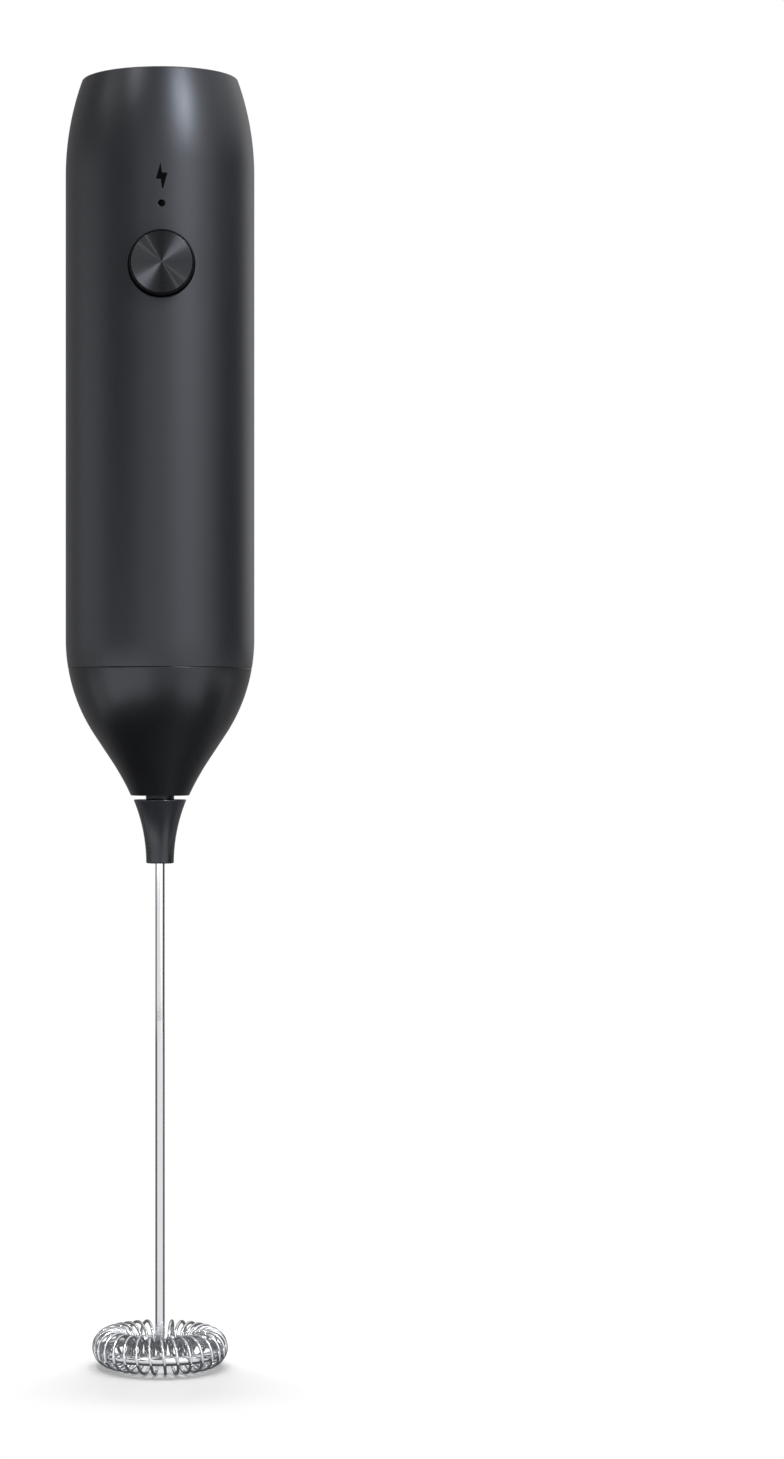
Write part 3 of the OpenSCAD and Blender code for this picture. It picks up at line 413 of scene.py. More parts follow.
@dataclass(frozen=True)
class Output:
    """What a node puts out. Sums with it add math nodes to its tree.

    Attributes:
        node: The node.
        name: The output's name, or its place.
    """

    node: bpy.types.Node
    name: str | int = 0

    def __getitem__(self, name: str) -> "Output":
        """Another output of the same node."""
        return Output(self.node, name)

    def math(self, kind: str, other: "Output | float" = 0.0) -> "Output":
        """This number and another, put through a math node of that kind."""
        return add_node(self.node.id_data, "Math", {0: self, 1: other}, operation=kind)

    def __add__(self, other: "Output | float") -> "Output":
        """The sum."""
        return self.math("ADD", other)

    def __sub__(self, other: "Output | float") -> "Output":
        """The difference."""
        return self.math("SUBTRACT", other)

    def __mul__(self, other: "Output | float") -> "Output":
        """The product."""
        return self.math("MULTIPLY", other)

    def __truediv__(self, other: "Output | float") -> "Output":
        """The quotient."""
        return self.math("DIVIDE", other)


def connect(node: bpy.types.Node, inputs: dict[str | int, object]) -> None:
    """Sets a node's inputs, or links them to what other nodes put out.

    Args:
        node: The node.
        inputs: Numbers, colours or outputs, by the input's name or place.
    """
    for title, value in inputs.items():
        if isinstance(value, Output):
            node.id_data.links.new(value.node.outputs[value.name], node.inputs[title])
        else:
            node.inputs[title].default_value = value


def add_node(tree: bpy.types.NodeTree, kind: str, inputs: dict[str | int, object] | None = None,
             **settings: object) -> Output:
    """Adds a node to a tree.

    Args:
        tree: The tree.
        kind: The node's type, without the word ShaderNode.
        inputs: Numbers, colours or outputs, by the input's name or place.
        settings: Its other properties.

    Returns:
        The node's first output.
    """
    node = tree.nodes.new("ShaderNode" + kind)
    for title, value in settings.items():
        setattr(node, title, value)
    connect(node, inputs or {})
    return Output(node)


def emptied(owner: bpy.types.Material | bpy.types.World) -> bpy.types.NodeTree:
    """Empties the node tree of a new material or world.

    Args:
        owner: The material or world.

    Returns:
        Its tree.
    """
    owner.use_nodes = True
    owner.node_tree.nodes.clear()
    return owner.node_tree


def noise(tree: bpy.types.NodeTree, scale: Output | float, detail: float, stretch: Colour = (1, 1, 1)) -> Output:
    """Noise on Object coordinates, from 0 to 1: cells per metre, layers of finer noise, and scale on each axis."""
    place = add_node(tree, "Mapping", {"Vector": add_node(tree, "TexCoord")["Object"], "Scale": stretch})
    return add_node(tree, "TexNoise", {"Vector": place, "Scale": scale, "Detail": detail})["Fac"]


def one_sided(tree: bpy.types.NodeTree, front: Output) -> None:
    """Ends a material that is clear from behind.

    Args:
        tree: The material's tree.
        front: The shader that its front shows.
    """
    back = add_node(tree, "NewGeometry")["Backfacing"]
    mixed = add_node(tree, "MixShader", {0: back, 1: front, 2: add_node(tree, "BsdfTransparent")})
    add_node(tree, "OutputMaterial", {0: mixed})


class Groups:
    """The node groups that the finishes share. Each is built once, when it is first asked for.

    Attributes:
        made: The groups that are there already, by name.
        painted_rays: Rows of (share of a half turn, brightness) for the painted highlight rays of spun metal, the
            bright wedges of its reflection laid into the colour by angle.
        painted_ray_ends: Brightness of that painted highlight at both ends of the half turn.
    """

    made: dict[str, bpy.types.NodeTree] = {}
    # Painted highlight: brightness of the spun metal's reflection rays, laid into the colour by angle round the disc
    painted_rays = ((0.1, 0.5), (0.2, 0.52), (0.255, 0.5), (0.31, 0.42), (0.38, 0.2), (0.5, 0.04), (0.6, 0.16), (0.65, 0.3),
            (0.675, 1), (0.7, 0.36), (0.75, 0.34), (0.783, 1), (0.83, 0.5))
    painted_ray_ends = 0.38

    @classmethod
    def place(cls, tree: bpy.types.NodeTree, build: Callable[[], bpy.types.NodeTree], **values: float) -> Output:
        """Places a group in a material.

        Args:
            tree: The material's tree.
            build: The method of this class that builds the group.
            values: The group's inputs.

        Returns:
            The group's first output.
        """
        name = build.__name__
        if name not in cls.made:
            cls.made[name] = build()
        return add_node(tree, "Group", values, node_tree=cls.made[name])

    @classmethod
    def start(cls, name: str, inputs: list[str], outputs: list[str]) -> tuple:
        """Opens a new node group with named number sockets.

        Args:
            name: The group's name.
            inputs: Names of its inputs.
            outputs: Names of its outputs.

        Returns:
            The group, what its input node puts out, and its output node.
        """
        tree = bpy.data.node_groups.new(name, "ShaderNodeTree")
        for way, titles in (("INPUT", inputs), ("OUTPUT", outputs)):
            for title in titles:
                tree.interface.new_socket(name=title, in_out=way, socket_type="NodeSocketFloat")
        return tree, Output(tree.nodes.new("NodeGroupInput")), tree.nodes.new("NodeGroupOutput")

    @classmethod
    def fine_grain(cls) -> bpy.types.NodeTree:
        """Even grain such as paint mist or moulded texture: coarse noise plus a third as much at four times the scale.
        Height bends the surface, and Shade runs from 0 to 1 for small shifts of colour.

        Returns:
            The group.
        """
        tree, given, end = cls.start("fine_grain", ["Scale"], ["Height", "Shade"])
        both = noise(tree, given["Scale"], 2) + noise(tree, given["Scale"] * 4.0, 1) * 0.33
        connect(end, {"Height": both, "Shade": both * 0.75})
        return tree

    @classmethod
    def handling(cls) -> bpy.types.NodeTree:
        """Faint marks of handling: broad soft patches times finer smears, less their mean of a quarter. Gloss is
        added to the roughness.

        Returns:
            The group.
        """
        tree, given, end = cls.start("handling", ["Amount"], ["Gloss"])
        marks = noise(tree, 55, 3) * noise(tree, 420, 4, (1, 1, 0.35))
        connect(end, {"Gloss": (marks - 0.25) * 4.0 * given["Amount"]})
        return tree

    @classmethod
    def drawn_lines(cls) -> bpy.types.NodeTree:
        """Fine lines left by drawing or grinding: noise stretched forty times along the height.

        Returns:
            The group.
        """
        tree, given, end = cls.start("drawn_lines", ["Scale"], ["Height", "Shade"])
        lines = noise(tree, given["Scale"], 2, (1, 1, 0.025))
        connect(end, {"Height": lines, "Shade": lines})
        return tree

    @classmethod
    def spun_rings_and_painted_rays(cls) -> bpy.types.NodeTree:
        """Rings that a turning tool leaves on a flat disc: a sine of the distance from the button's axis, with a
        slower one that lets some rings bite deeper. The shade has noise of that distance, and painted highlight
        rays: bright wedges of the spun metal's reflection, painted by angle round the disc, which repeat every half
        turn.

        Returns:
            The group.
        """
        tree, given, end = cls.start("spun_rings_and_painted_rays", ["Height", "Pitch"], ["Height", "Shade"])
        spot = add_node(tree, "SeparateXYZ", {0: add_node(tree, "TexCoord")["Object"]})
        x, up = spot["X"], spot["Z"] - given["Height"]
        away = (x * x + up * up).math("SQRT")
        turn = away * (2 * math.pi) / given["Pitch"]
        ring = turn.math("SINE") * ((turn * 0.27).math("SINE") * 0.4 + 0.6)
        line = add_node(tree, "TexNoise", {"W": away, "Scale": 9000, "Detail": 2}, noise_dimensions="1D")["Fac"]
        # Painted highlight rays: a ramp of brightness by angle round the disc, standing in for the lights' reflection
        # in spun metal
        painted_rays = add_node(tree, "ValToRGB", {0: (up.math("ARCTAN2", x) / math.pi).math("FRACT")})
        stops = painted_rays.node.color_ramp.elements
        for share, grey in cls.painted_rays:
            stops.new(share).color = (grey, grey, grey, 1)
        stops[0].color = stops[-1].color = (*[cls.painted_ray_ends] * 3, 1)
        # The shade is mostly the painted highlight rays, with some real tone from the ring noise
        connect(end, {"Height": ring, "Shade": painted_rays * 0.8 + line * 0.3})
        return tree


# ---------------------------------------------------------------- finishes

def rgb(shown: Colour) -> tuple[float, ...]:
    """A colour given in display values from 0 to 255, as linear values with full cover."""
    c = np.array(shown) / 255
    return (*np.where(c <= 0.04045, c / 12.92, ((c + 0.055) / 1.055) ** 2.4).tolist(), 1)


MATERIALS: dict[str, bpy.types.Material] = {}
LACQUER = 0.08  # roughness of the clear lacquer
COOL = (0.88, 0.91, 1, 1)  # tint of the reflection of surfaces that aren't metal
ACROSS = 0.25  # part of a turn that draws the gloss out across the disc's rings


class Texture(Enum):
    """What a finish's surface is made of at close range."""

    GRAIN = "fine even grain"
    DRAWN = "fine lines along the height"
    # Besides the real rings, this texture paints highlight rays into the colour
    RINGS = "fine rings round the button's axis"
    TRACES = "copper tracks under a lacquer"
    WOUND = "turns of enamelled wire"
    FOAM = "open cells"


@dataclass(frozen=True)
class Finish:
    """How a surface looks.

    Attributes:
        name: The material's name.
        colour: Its main colour, in display values from 0 to 255.
        tint: The colour that the texture shifts it towards.
        roughness: Plain roughness.
        metallic: 1 for bare metal.
        texture: What it is made of at close range.
        scale: Texture cells per metre.
        depth: Height of the texture, in metres.
        marks: How much handling changes the roughness.
        specular: Strength of the reflection of a surface that isn't metal.
        coat: Clear lacquer on top.
        anisotropy: How far the gloss is drawn out across the lines.
        glow: Strength of its own light.
    """

    name: str
    colour: Colour
    tint: Colour
    roughness: float
    metallic: float = 0.0
    texture: Texture = Texture.GRAIN
    scale: float = 4000
    depth: float = 4e-6
    marks: float = 0.03
    specular: float = 0.5
    coat: float = 0.0
    anisotropy: float = 0.0
    glow: float = 0.0

    def material(self) -> bpy.types.Material:
        """The Blender material, made once for each finish."""
        return MATERIALS.get(self.name) or self.build()

    def build(self) -> bpy.types.Material:
        """Makes the node tree: the texture shifts the colour and bends the surface, and handling the roughness.

        Returns:
            The material.
        """
        material = MATERIALS[self.name] = bpy.data.materials.new(self.name)
        tree = emptied(material)
        height, shade = self.relief(tree)
        # For the spun disc this shift is mostly painted highlight: its reflection rays, laid into the colour by angle
        colour = add_node(tree, "Mix", {"A": rgb(self.colour), "B": rgb(self.tint), "Factor": shade},
                          data_type="RGBA")["Result"]
        bump = add_node(tree, "Bump", {"Strength": 1, "Distance": self.depth, "Height": height})
        shader = add_node(tree, "BsdfPrincipled", {
            "Base Color": colour, "Normal": bump,
            "Roughness": Groups.place(tree, Groups.handling, Amount=self.marks)["Gloss"] + self.roughness,
            "Metallic": self.metallic, "Specular IOR Level": self.specular, "Coat Weight": self.coat,
            "Coat Roughness": LACQUER, "Anisotropic": self.anisotropy,
            "Emission Color": rgb(self.colour), "Emission Strength": self.glow})
        if not self.metallic:
            connect(shader.node, {"Specular Tint": COOL})
        if self.texture is Texture.RINGS:
            connect(shader.node, {"Anisotropic Rotation": ACROSS,
                                  "Tangent": add_node(tree, "Tangent", direction_type="RADIAL", axis="Y")})
        add_node(tree, "OutputMaterial", {0: shader})
        return material

    def relief(self, tree: bpy.types.NodeTree) -> tuple[Output, Output]:
        """The texture's height, and its share of the second colour.

        Args:
            tree: The material's tree.

        Returns:
            The height and the share.
        """
        if self.texture is Texture.RINGS:
            made = Groups.place(tree, Groups.spun_rings_and_painted_rays, Height=middle("button_disc")[2] * MM, Pitch=1 / self.scale)
        elif self.texture in (Texture.GRAIN, Texture.DRAWN):
            build = Groups.fine_grain if self.texture is Texture.GRAIN else Groups.drawn_lines
            made = Groups.place(tree, build, Scale=self.scale)
        else:
            return (self.pattern(tree),) * 2
        return made["Height"], made["Shade"]

    def pattern(self, tree: bpy.types.NodeTree) -> Output:
        """The bolder patterns: tracks as bands of a brick wall, wire turns as bands across the height, and foam as
        cells. The second colour fills their gaps.

        Args:
            tree: The material's tree.

        Returns:
            The pattern, from 0 to 1.
        """
        place = add_node(tree, "TexCoord")["Object"]
        if self.texture is Texture.TRACES:
            turned = add_node(tree, "Mapping", {"Vector": place, "Rotation": (math.pi / 2, 0, 0)})
            return add_node(tree, "TexBrick", {"Vector": turned, "Scale": self.scale, "Mortar Size": 0.06,
                                               "Mortar Smooth": 0.3})["Fac"]
        if self.texture is Texture.WOUND:
            return add_node(tree, "TexWave", {"Vector": place, "Scale": self.scale, "Distortion": 0.6},
                            wave_type="BANDS", bands_direction="Z")["Fac"]
        return add_node(tree, "TexVoronoi", {"Vector": place, "Scale": self.scale})["Distance"]

    def dress(self, piece: bpy.types.Object) -> None:
        """Gives this finish to a piece, in the slots it has or in a new one.

        Args:
            piece: The piece.
        """
        for slot in piece.material_slots:
            slot.material = self.material()
        if not piece.material_slots:
            piece.data.materials.append(self.material())


PAINT = Finish("soft_touch_paint", (36, 37, 40), (42, 43, 47), 0.38, scale=5200, depth=2.2e-6, marks=0.025)
# Painted shade: the handle's soft-touch paint made darker for the nose's downward-facing flank; it is also a touch
# glossier
NOSE_PAINTED_SHADE = Finish("nose_paint_painted_shade", (18, 19, 21), (23, 24, 26), 0.31, scale=5200, depth=2.2e-6, marks=0.02)
SLEEVE = Finish("sleeve_satin", (37, 38, 41), (45, 46, 50), 0.24, scale=4200, depth=2e-6, marks=0.02)
CAP = Finish("cap_moulding", (26, 27, 29), (34, 35, 38), 0.45, scale=3600, depth=5e-6)
HUB = Finish("hub_moulding", (22, 22, 24), (30, 30, 33), 0.4, scale=3600)
GLOSS = Finish("button_gloss", (5, 5, 6), (9, 9, 10), 0.3, scale=6000, depth=4e-7, marks=0.02, specular=0.12)
SYMBOL = Finish("symbol_print", (3, 3, 4), (6, 7, 8), 0.5, scale=9000, depth=2e-6, marks=0.01, specular=0.03)
LENS = Finish("smoked_lens", (2, 2, 3), (4, 4, 5), 0.2, scale=6000, depth=2e-7, marks=0.01, specular=0.04)
# Spun disc: dark metal whose tint is the painted highlight of its rays, laid in by angle round the disc
SPUN_PAINTED_RAYS = Finish("spun_disc_painted_rays", (26, 27, 29), (78, 79, 82), 0.3, 1.0, Texture.RINGS, 3200, marks=0.01, anisotropy=1.0)
CUT = Finish("cut_edge", (76, 77, 80), (96, 97, 100), 0.2, 1.0, scale=9000, depth=3e-7, marks=0.01)
WIRE = Finish("polished_wire", (218, 219, 223), (230, 231, 234), 0.13, 1.0, Texture.DRAWN, 9000, 5e-7, anisotropy=0.2)
COIL = Finish("coil_wire", (214, 215, 219), (230, 231, 234), 0.12, 1.0, scale=9000, depth=3e-7)
SOCKET = Finish("socket_steel", (176, 178, 182), (196, 198, 202), 0.28, 1.0, Texture.DRAWN, 9000, 1e-6)
TONGUE = Finish("tongue_moulding", (14, 14, 15), (20, 20, 21), 0.4, scale=6000, depth=1e-6)
GOLD = Finish("contact_gold", (214, 172, 92), (232, 194, 116), 0.22, 1.0, scale=9000, depth=5e-7)

# Finishes of the frame nodes that show as they are
INNER = {
    "nose_seal_ring": Finish("seal_rubber", (20, 20, 20), (30, 30, 30), 0.6, scale=3000, depth=6e-6),
    "inner_frame": Finish("frame_nylon", (206, 205, 198), (219, 218, 212), 0.48, scale=2500, depth=8e-6),
    "frame_screws": Finish("zinc_plate", (176, 178, 184), (202, 204, 208), 0.3, 1.0, scale=5000, depth=2e-6),
    "circuit_board": Finish("board_lacquer", (12, 74, 44), (26, 104, 62), 0.32, texture=Texture.TRACES, scale=420,
                            depth=1.5e-5, coat=0.3),
    "board_components": Finish("chip_epoxy", (26, 26, 28), (36, 36, 38), 0.55, scale=5000, depth=5e-6),
    "status_led": Finish("led_resin", (236, 226, 170), (246, 238, 196), 0.3, scale=3000, depth=2e-6, glow=0.05),
    "switch_body": Finish("switch_moulding", (28, 28, 30), (38, 38, 40), 0.5),
    "switch_plunger": Finish("plunger_moulding", (148, 130, 102), (160, 142, 114), 0.45, depth=3e-6),
    "battery_cell": Finish("cell_wrap", (34, 92, 160), (42, 104, 174), 0.3, scale=900, depth=6e-6, coat=0.2),
    "battery_tabs": Finish("nickel_strip", (192, 188, 178), (210, 206, 198), 0.32, 1.0, scale=6000, depth=2e-6),
    "battery_pad": Finish("foam", (44, 44, 46), (20, 20, 21), 0.95, texture=Texture.FOAM, scale=3200, depth=8e-5),
    "battery_lead": Finish("lead_black", (18, 18, 19), (28, 28, 29), 0.42, scale=3000, depth=3e-6),
    "motor_can": Finish("motor_steel", (168, 170, 174), (190, 192, 196), 0.3, 1.0, Texture.DRAWN, 5000, 2e-6),
    "motor_magnets": Finish("ferrite", (44, 44, 47), (60, 60, 63), 0.6, scale=3500, depth=8e-6),
    "motor_end_bell": Finish("bell_nylon", (222, 216, 196), (232, 227, 210), 0.45, scale=2600, depth=6e-6),
    "motor_brushes": Finish("copper_leaf", (184, 108, 72), (204, 132, 96), 0.34, 1.0, scale=5000, depth=2e-6),
    "motor_terminals": Finish("brass_strip", (196, 160, 84), (214, 182, 110), 0.3, 1.0, scale=5000, depth=2e-6),
    "motor_leads": Finish("lead_red", (168, 26, 22), (186, 36, 30), 0.4, scale=3000, depth=3e-6),
    "front_bushing": Finish("sintered_bronze", (160, 118, 72), (182, 142, 96), 0.42, 1.0, scale=4200, depth=6e-6),
    "motor_gasket": Finish("gasket_rubber", (24, 24, 24), (34, 34, 34), 0.65, scale=3000, depth=6e-6),
    "shaft_seal": Finish("oil_seal_rubber", (74, 30, 22), (90, 40, 30), 0.5, scale=3000, depth=5e-6),
    "motor_shaft": Finish("ground_steel", (200, 202, 205), (220, 222, 225), 0.2, 1.0, Texture.DRAWN, 8000, 1e-6),
    "armature_core": Finish("core_steel", (96, 98, 104), (126, 128, 134), 0.42, 1.0, Texture.WOUND, 320, 2e-5),
    "armature_windings": Finish("enamelled_copper", (172, 84, 40), (92, 38, 18), 0.28, 0.8, Texture.WOUND, 520, 6e-5,
                                coat=0.5),
}
SAME = {"board_screws": "frame_screws", "rear_bushing": "front_bushing", "commutator": "motor_brushes"}


# ---------------------------------------------------------------- the handle

@dataclass
class Handle:
    """The painted shell: a tube with a curved crown, whose foot follows the nose's shoulder.

    Attributes:
        wall: Thickness of the tube.
        crown: Height of the curved crown.
        rim: Radius of the rim round the top.
        shoulder: Radius of the shoulder's curve.
        shoulder_h: Height above the parting line at which it starts.
        plate: Thickness of the top plate.
        recess: Depth of the end cap's recess, and its radius.
        plug_r: Radius of the hole for the end cap's plug.
        edge: Rounding of the edge at the parting line.
        rim_edge: Rounding of the rim.
        soft: Rounding of the edges inside.
        columns: Steps round the tube.
        spans: Steps up the straight wall below the button, past it, past the indicator and above.
        reach: How far the button's steps reach above the middle between it and the indicator.
        closing: Shares of the way from an opening's border to its hole at which the skin has a ring.
        key: How much wider the button's hole is than the disc's solid, in radius, and the rounding of its edge.
        landing: Radius of the flat inside the shell round the button's hole, and its distance from the axis.
        eye: Radius of the indicator's hole, and the rounding of its edge.
        boss: Radii and distances from the axis of the boss for the light pipe.
    """

    wall: float = 1.8
    crown: float = 17.1
    rim: float = 14.0
    shoulder: float = 31.2
    shoulder_h: float = 5.2
    plate: float = 3.0
    recess: tuple[float, float] = (1.6, 11.5)
    plug_r: float = 9.45
    edge: float = 0.14
    rim_edge: float = 0.3
    soft: float = 0.1
    columns: int = 256
    spans: tuple[int, ...] = (11, 44, 16, 4)
    reach: float = 2.3
    closing: tuple[float, ...] = (0.35, 0.62, 0.8, 0.91, 0.97)
    key: tuple[float, float] = (0.55, 0.22)
    landing: tuple[float, float] = (7.3, 13.49)
    eye: tuple[float, float] = (0.62, 0.09)
    boss: tuple[float, ...] = (1.2, 2.2, 14.6, 13.0)

    def __post_init__(self) -> None:
        """Reads where the shell is."""
        self.low, self.high = node_box("handle_shell")

    def rows(self, key: float, light: float) -> np.ndarray:
        """Heights of the rows up the straight wall, close together beside the two holes.

        Args:
            key: Height of the button's centre.
            light: Height of the indicator.

        Returns:
            The heights, which start at the shoulder and end at the crown.
        """
        split = (key + light) / 2 + self.reach
        first, last = self.low[2] + self.shoulder_h, self.high[2] - self.crown
        stops = (first, 2 * key - split, split, 2 * light - split, last)
        steps = [np.linspace(a, b, n, endpoint=False) for a, b, n in zip(stops, stops[1:], self.spans)]
        return np.concatenate([*steps, [last]])

    def outline(self, rows: np.ndarray) -> tuple[np.ndarray, int, int]:
        """The closed outline of the shell's wall, from its foot up the outside, over the top and down the inside.

        Args:
            rows: Heights of the rows up the straight wall.

        Returns:
            The outline, the number of the first row outside, and that of the first row inside, which runs down.
        """
        r, foot, top = self.high[0], self.low[2], self.high[2]
        inner, bend_z = r - self.wall, top - self.crown
        crown_r = (self.crown ** 2 + (r - self.rim) ** 2) / (2 * (r - self.rim))
        bend = (r - crown_r, bend_z)
        foot_angle = math.degrees(math.asin(self.shoulder_h / self.shoulder))
        foot_arc = arc((r - self.shoulder, foot + self.shoulder_h), self.shoulder, -foot_angle, 0, 10)[:-1]
        crown_top = math.degrees(math.asin(self.crown / crown_r))
        crown_arc = arc(bend, crown_r, 0, crown_top, 40)[1:]
        roof = top - self.plate
        roof_angle = math.degrees(math.asin((roof - bend_z) / (crown_r - self.wall)))
        inner_arc = arc(bend, crown_r - self.wall, roof_angle, 0, 16)[:-1]
        recess, recess_r = self.recess
        outline = rounded([
            (inner, foot, self.soft), (foot_arc[0][0], foot, self.edge), *plain(foot_arc[1:]),
            *[(r, z, 0) for z in rows], *plain(crown_arc[:-1]), (*crown_arc[-1], self.rim_edge),
            (recess_r, top, 1.5 * self.soft), (recess_r, top - recess, 0), (self.plug_r, top - recess, self.soft),
            (self.plug_r, roof, self.soft), *plain(inner_arc), *[(inner, z, 0) for z in rows[::-1]]], closed=True)
        first, last = (int(np.argmin(np.hypot(*(outline - p).T))) for p in ((r, rows[0]), (inner, rows[-1])))
        return outline, first, last

    def window(self, grid: np.ndarray, low: int, high: int, reach: int) -> np.ndarray:
        """The points round a rectangular opening of the grid, in order.

        Args:
            grid: Rows x columns x 3 points.
            low: Row at its lower side.
            high: Row at its upper side.
            reach: Columns from the front to each upright side.

        Returns:
            The ring of points, from the lower left corner to the right and round.
        """
        step = 1 if high > low else -1
        across, up = np.arange(-reach, reach), np.arange(low, high, step)
        rows = np.concatenate([np.full(2 * reach, low), up, np.full(2 * reach, high), up[::-1] + step])
        columns = np.concatenate([across, np.full(len(up), reach), -across, np.full(len(up), -reach)])
        return grid[rows, columns % grid.shape[1]]

    def hole(self, borders: list[np.ndarray], z: float, r: float, edge: float,
             steps: list[tuple[float, float]]) -> Surface:
        """A round hole through the wall with a rounded edge. From the opening's border the skin closes in on the
        hole's circle along the tube. It turns in over a quarter arc, and then follows the given steps to the border
        of the opening inside.

        Args:
            borders: Borders of the opening in the outer and in the inner wall.
            z: Height of the hole's centre.
            r: Its radius.
            edge: Rounding of its edge.
            steps: Radii, and distances from the handle's axis, of the rings down the hole. A distance of 0 lies on
                the inner wall.

        Returns:
            The skin of the hole.
        """
        outside, inside = borders
        tube = self.high[0]
        angle = np.arctan2(outside[:, 2] - z, outside[:, 0])
        across, up = np.cos(angle), np.sin(angle)
        rings = [outside]
        for share in self.closing:
            x = (1 - share) * outside[:, 0] + share * (r + edge) * across
            rings.append(on_tube(x, tube, (1 - share) * outside[:, 2] + share * (z + (r + edge) * up)))
        for t in np.radians(np.linspace(0, 90, 7)):
            at = r + edge * (1 - math.sin(t))
            rings.append(on_tube(at * across, tube, z + at * up, edge * (1 - math.cos(t))))
        for radius, distance in steps:
            if distance:
                rings.append(np.stack([radius * across, 0 * across - distance, z + radius * up], axis=-1))
            else:
                rings.append(on_tube(radius * across, tube - self.wall, z + radius * up))
        return loft(np.array([*rings, inside]))

    def build(self) -> list[bpy.types.Object]:
        """Makes the shell with the button's hole and the indicator's hole in its front.

        Returns:
            The piece.
        """
        key, light = middle("button_disc")[2], middle("light_pipe")[2]
        rows = self.rows(key, light)
        outline, outer, inner = self.outline(rows)
        grid = from_front(outline[:, :1], turns(self.columns), outline[:, 1:])
        quads = grid_quads(len(outline), self.columns, True, True)
        keep = np.ones(quads.shape[:2], bool)
        borders = []
        start, last = self.spans[0], len(rows) - 1
        for span in self.spans[1:3]:
            end, reach = start + span, span // 2
            both = ((outer + start, outer + end), (inner + last - start, inner + last - end))
            columns = np.arange(-reach, reach) % self.columns
            for low, high in both:
                keep[np.ix_(np.arange(min(low, high), max(low, high)), columns)] = False
            borders.append([self.window(grid, low, high, reach) for low, high in both])
            start = end
        gap, key_edge = self.key
        key_r, (land_r, land_out) = node_box("button_disc")[1][0] + gap, self.landing
        button = self.hole(borders[0], key, key_r, key_edge,
                           [(key_r, land_out + 0.1), (key_r, land_out), (land_r, land_out), (land_r, 0)])
        eye_r, eye_edge = self.eye
        pipe_r, boss_r, shoulder, boss_out = self.boss
        eye = self.hole(borders[1], light, eye_r, eye_edge, [(eye_r, shoulder), (pipe_r, shoulder), (pipe_r, boss_out),
                                                             (boss_r, boss_out), (boss_r, 0)])
        skin = Surface(grid.reshape(-1, 3), quads[keep]).joined(button, eye)
        return [add_piece("painted_shell", skin, PAINT, "handle", "soft_touch_graphite", "handle_shell")]


@dataclass
class ChargeSymbol:
    """The printed bolt above the indicator: two slanted strips that meet, wrapped round the tube.

    Attributes:
        height: Its height.
        above: Height of its middle over the indicator.
        lift: How far the print stands on the paint.
        levels: Rows of (share of the height from the top, left edge, right edge), the edges in shares of the height.
    """

    height: float = 4.47
    above: float = 4.8
    lift: float = 0.02
    levels: tuple[tuple[float, float, float], ...] = (
        (0.0, -0.045, -0.03), (0.375, -0.145, 0.018), (0.383, -0.147, 0.225), (0.4, -0.152, 0.228),
        (0.605, -0.216, 0.171), (0.62, -0.205, 0.167), (0.627, -0.022, 0.165), (0.985, 0.018, 0.072), (1.0, 0.03, 0.06))

    def build(self) -> list[bpy.types.Object]:
        """Makes the print: at each height it runs from the left edge to the right one, on a tube a little wider than
        the handle.

        Returns:
            The piece.
        """
        shell_r = node_box("handle_shell")[1][0]
        table = np.array(self.levels)
        v = np.unique(np.concatenate([np.linspace(0, 1, 41), table[:, 0]]))
        left, right = (np.interp(v, table[:, 0], table[:, k]) * self.height for k in (1, 2))
        u = np.linspace(0, 1, 7)
        x = left[:, None] * (1 - u) + right[:, None] * u
        z = middle("light_pipe")[2] + self.above + self.height * (0.5 - v[:, None]) + 0 * x
        outside, inside = (on_tube(x, shell_r + h, z) for h in (self.lift, -self.lift))
        rings = np.concatenate([outside, inside[:, ::-1]], axis=1)
        first, last = (np.broadcast_to(ring.mean(axis=0), ring.shape)[None] for ring in (rings[0], rings[-1]))
        return [add_piece("charge_symbol", loft(np.vstack([first, rings, last])), SYMBOL, "handle", "button_gloss",
                          sharp=60)]


@dataclass
class Indicator:
    """The light pipe, whose small domed window sits in the handle's front.

    Attributes:
        window: Radius of the window.
        pipe: Radius of the pipe inside.
        shoulder: Distance of the pipe's shoulder from the handle's axis.
        sink: How far the dome's edge lies below the paint.
        dome: Rise of the dome.
    """

    window: float = 0.6
    pipe: float = 1.15
    shoulder: float = 14.6
    sink: float = 0.3
    dome: float = 0.1

    def build(self) -> list[bpy.types.Object]:
        """Makes the pipe: a stepped pin whose front is a shallow dome.

        Returns:
            The piece.
        """
        low, high = node_box("light_pipe")
        front, back = -low[1] - self.sink, -high[1]
        dome_r = (self.window ** 2 + self.dome ** 2) / (2 * self.dome)
        top = arc((0, front + self.dome - dome_r), dome_r, 90, 90 - math.degrees(math.asin(self.window / dome_r)), 9)
        side = rounded([(0, back, 0), (self.pipe, back, 0.1), (self.pipe, self.shoulder, 0.05),
                        (self.window, self.shoulder, 0), (self.window, front, 0)])[:-1]
        pin = facing(revolve(np.vstack([side, top[::-1]]), 48), middle("light_pipe")[2])
        return [add_piece("indicator_lens", pin, LENS, "handle", "smoked_lens", "light_pipe")]


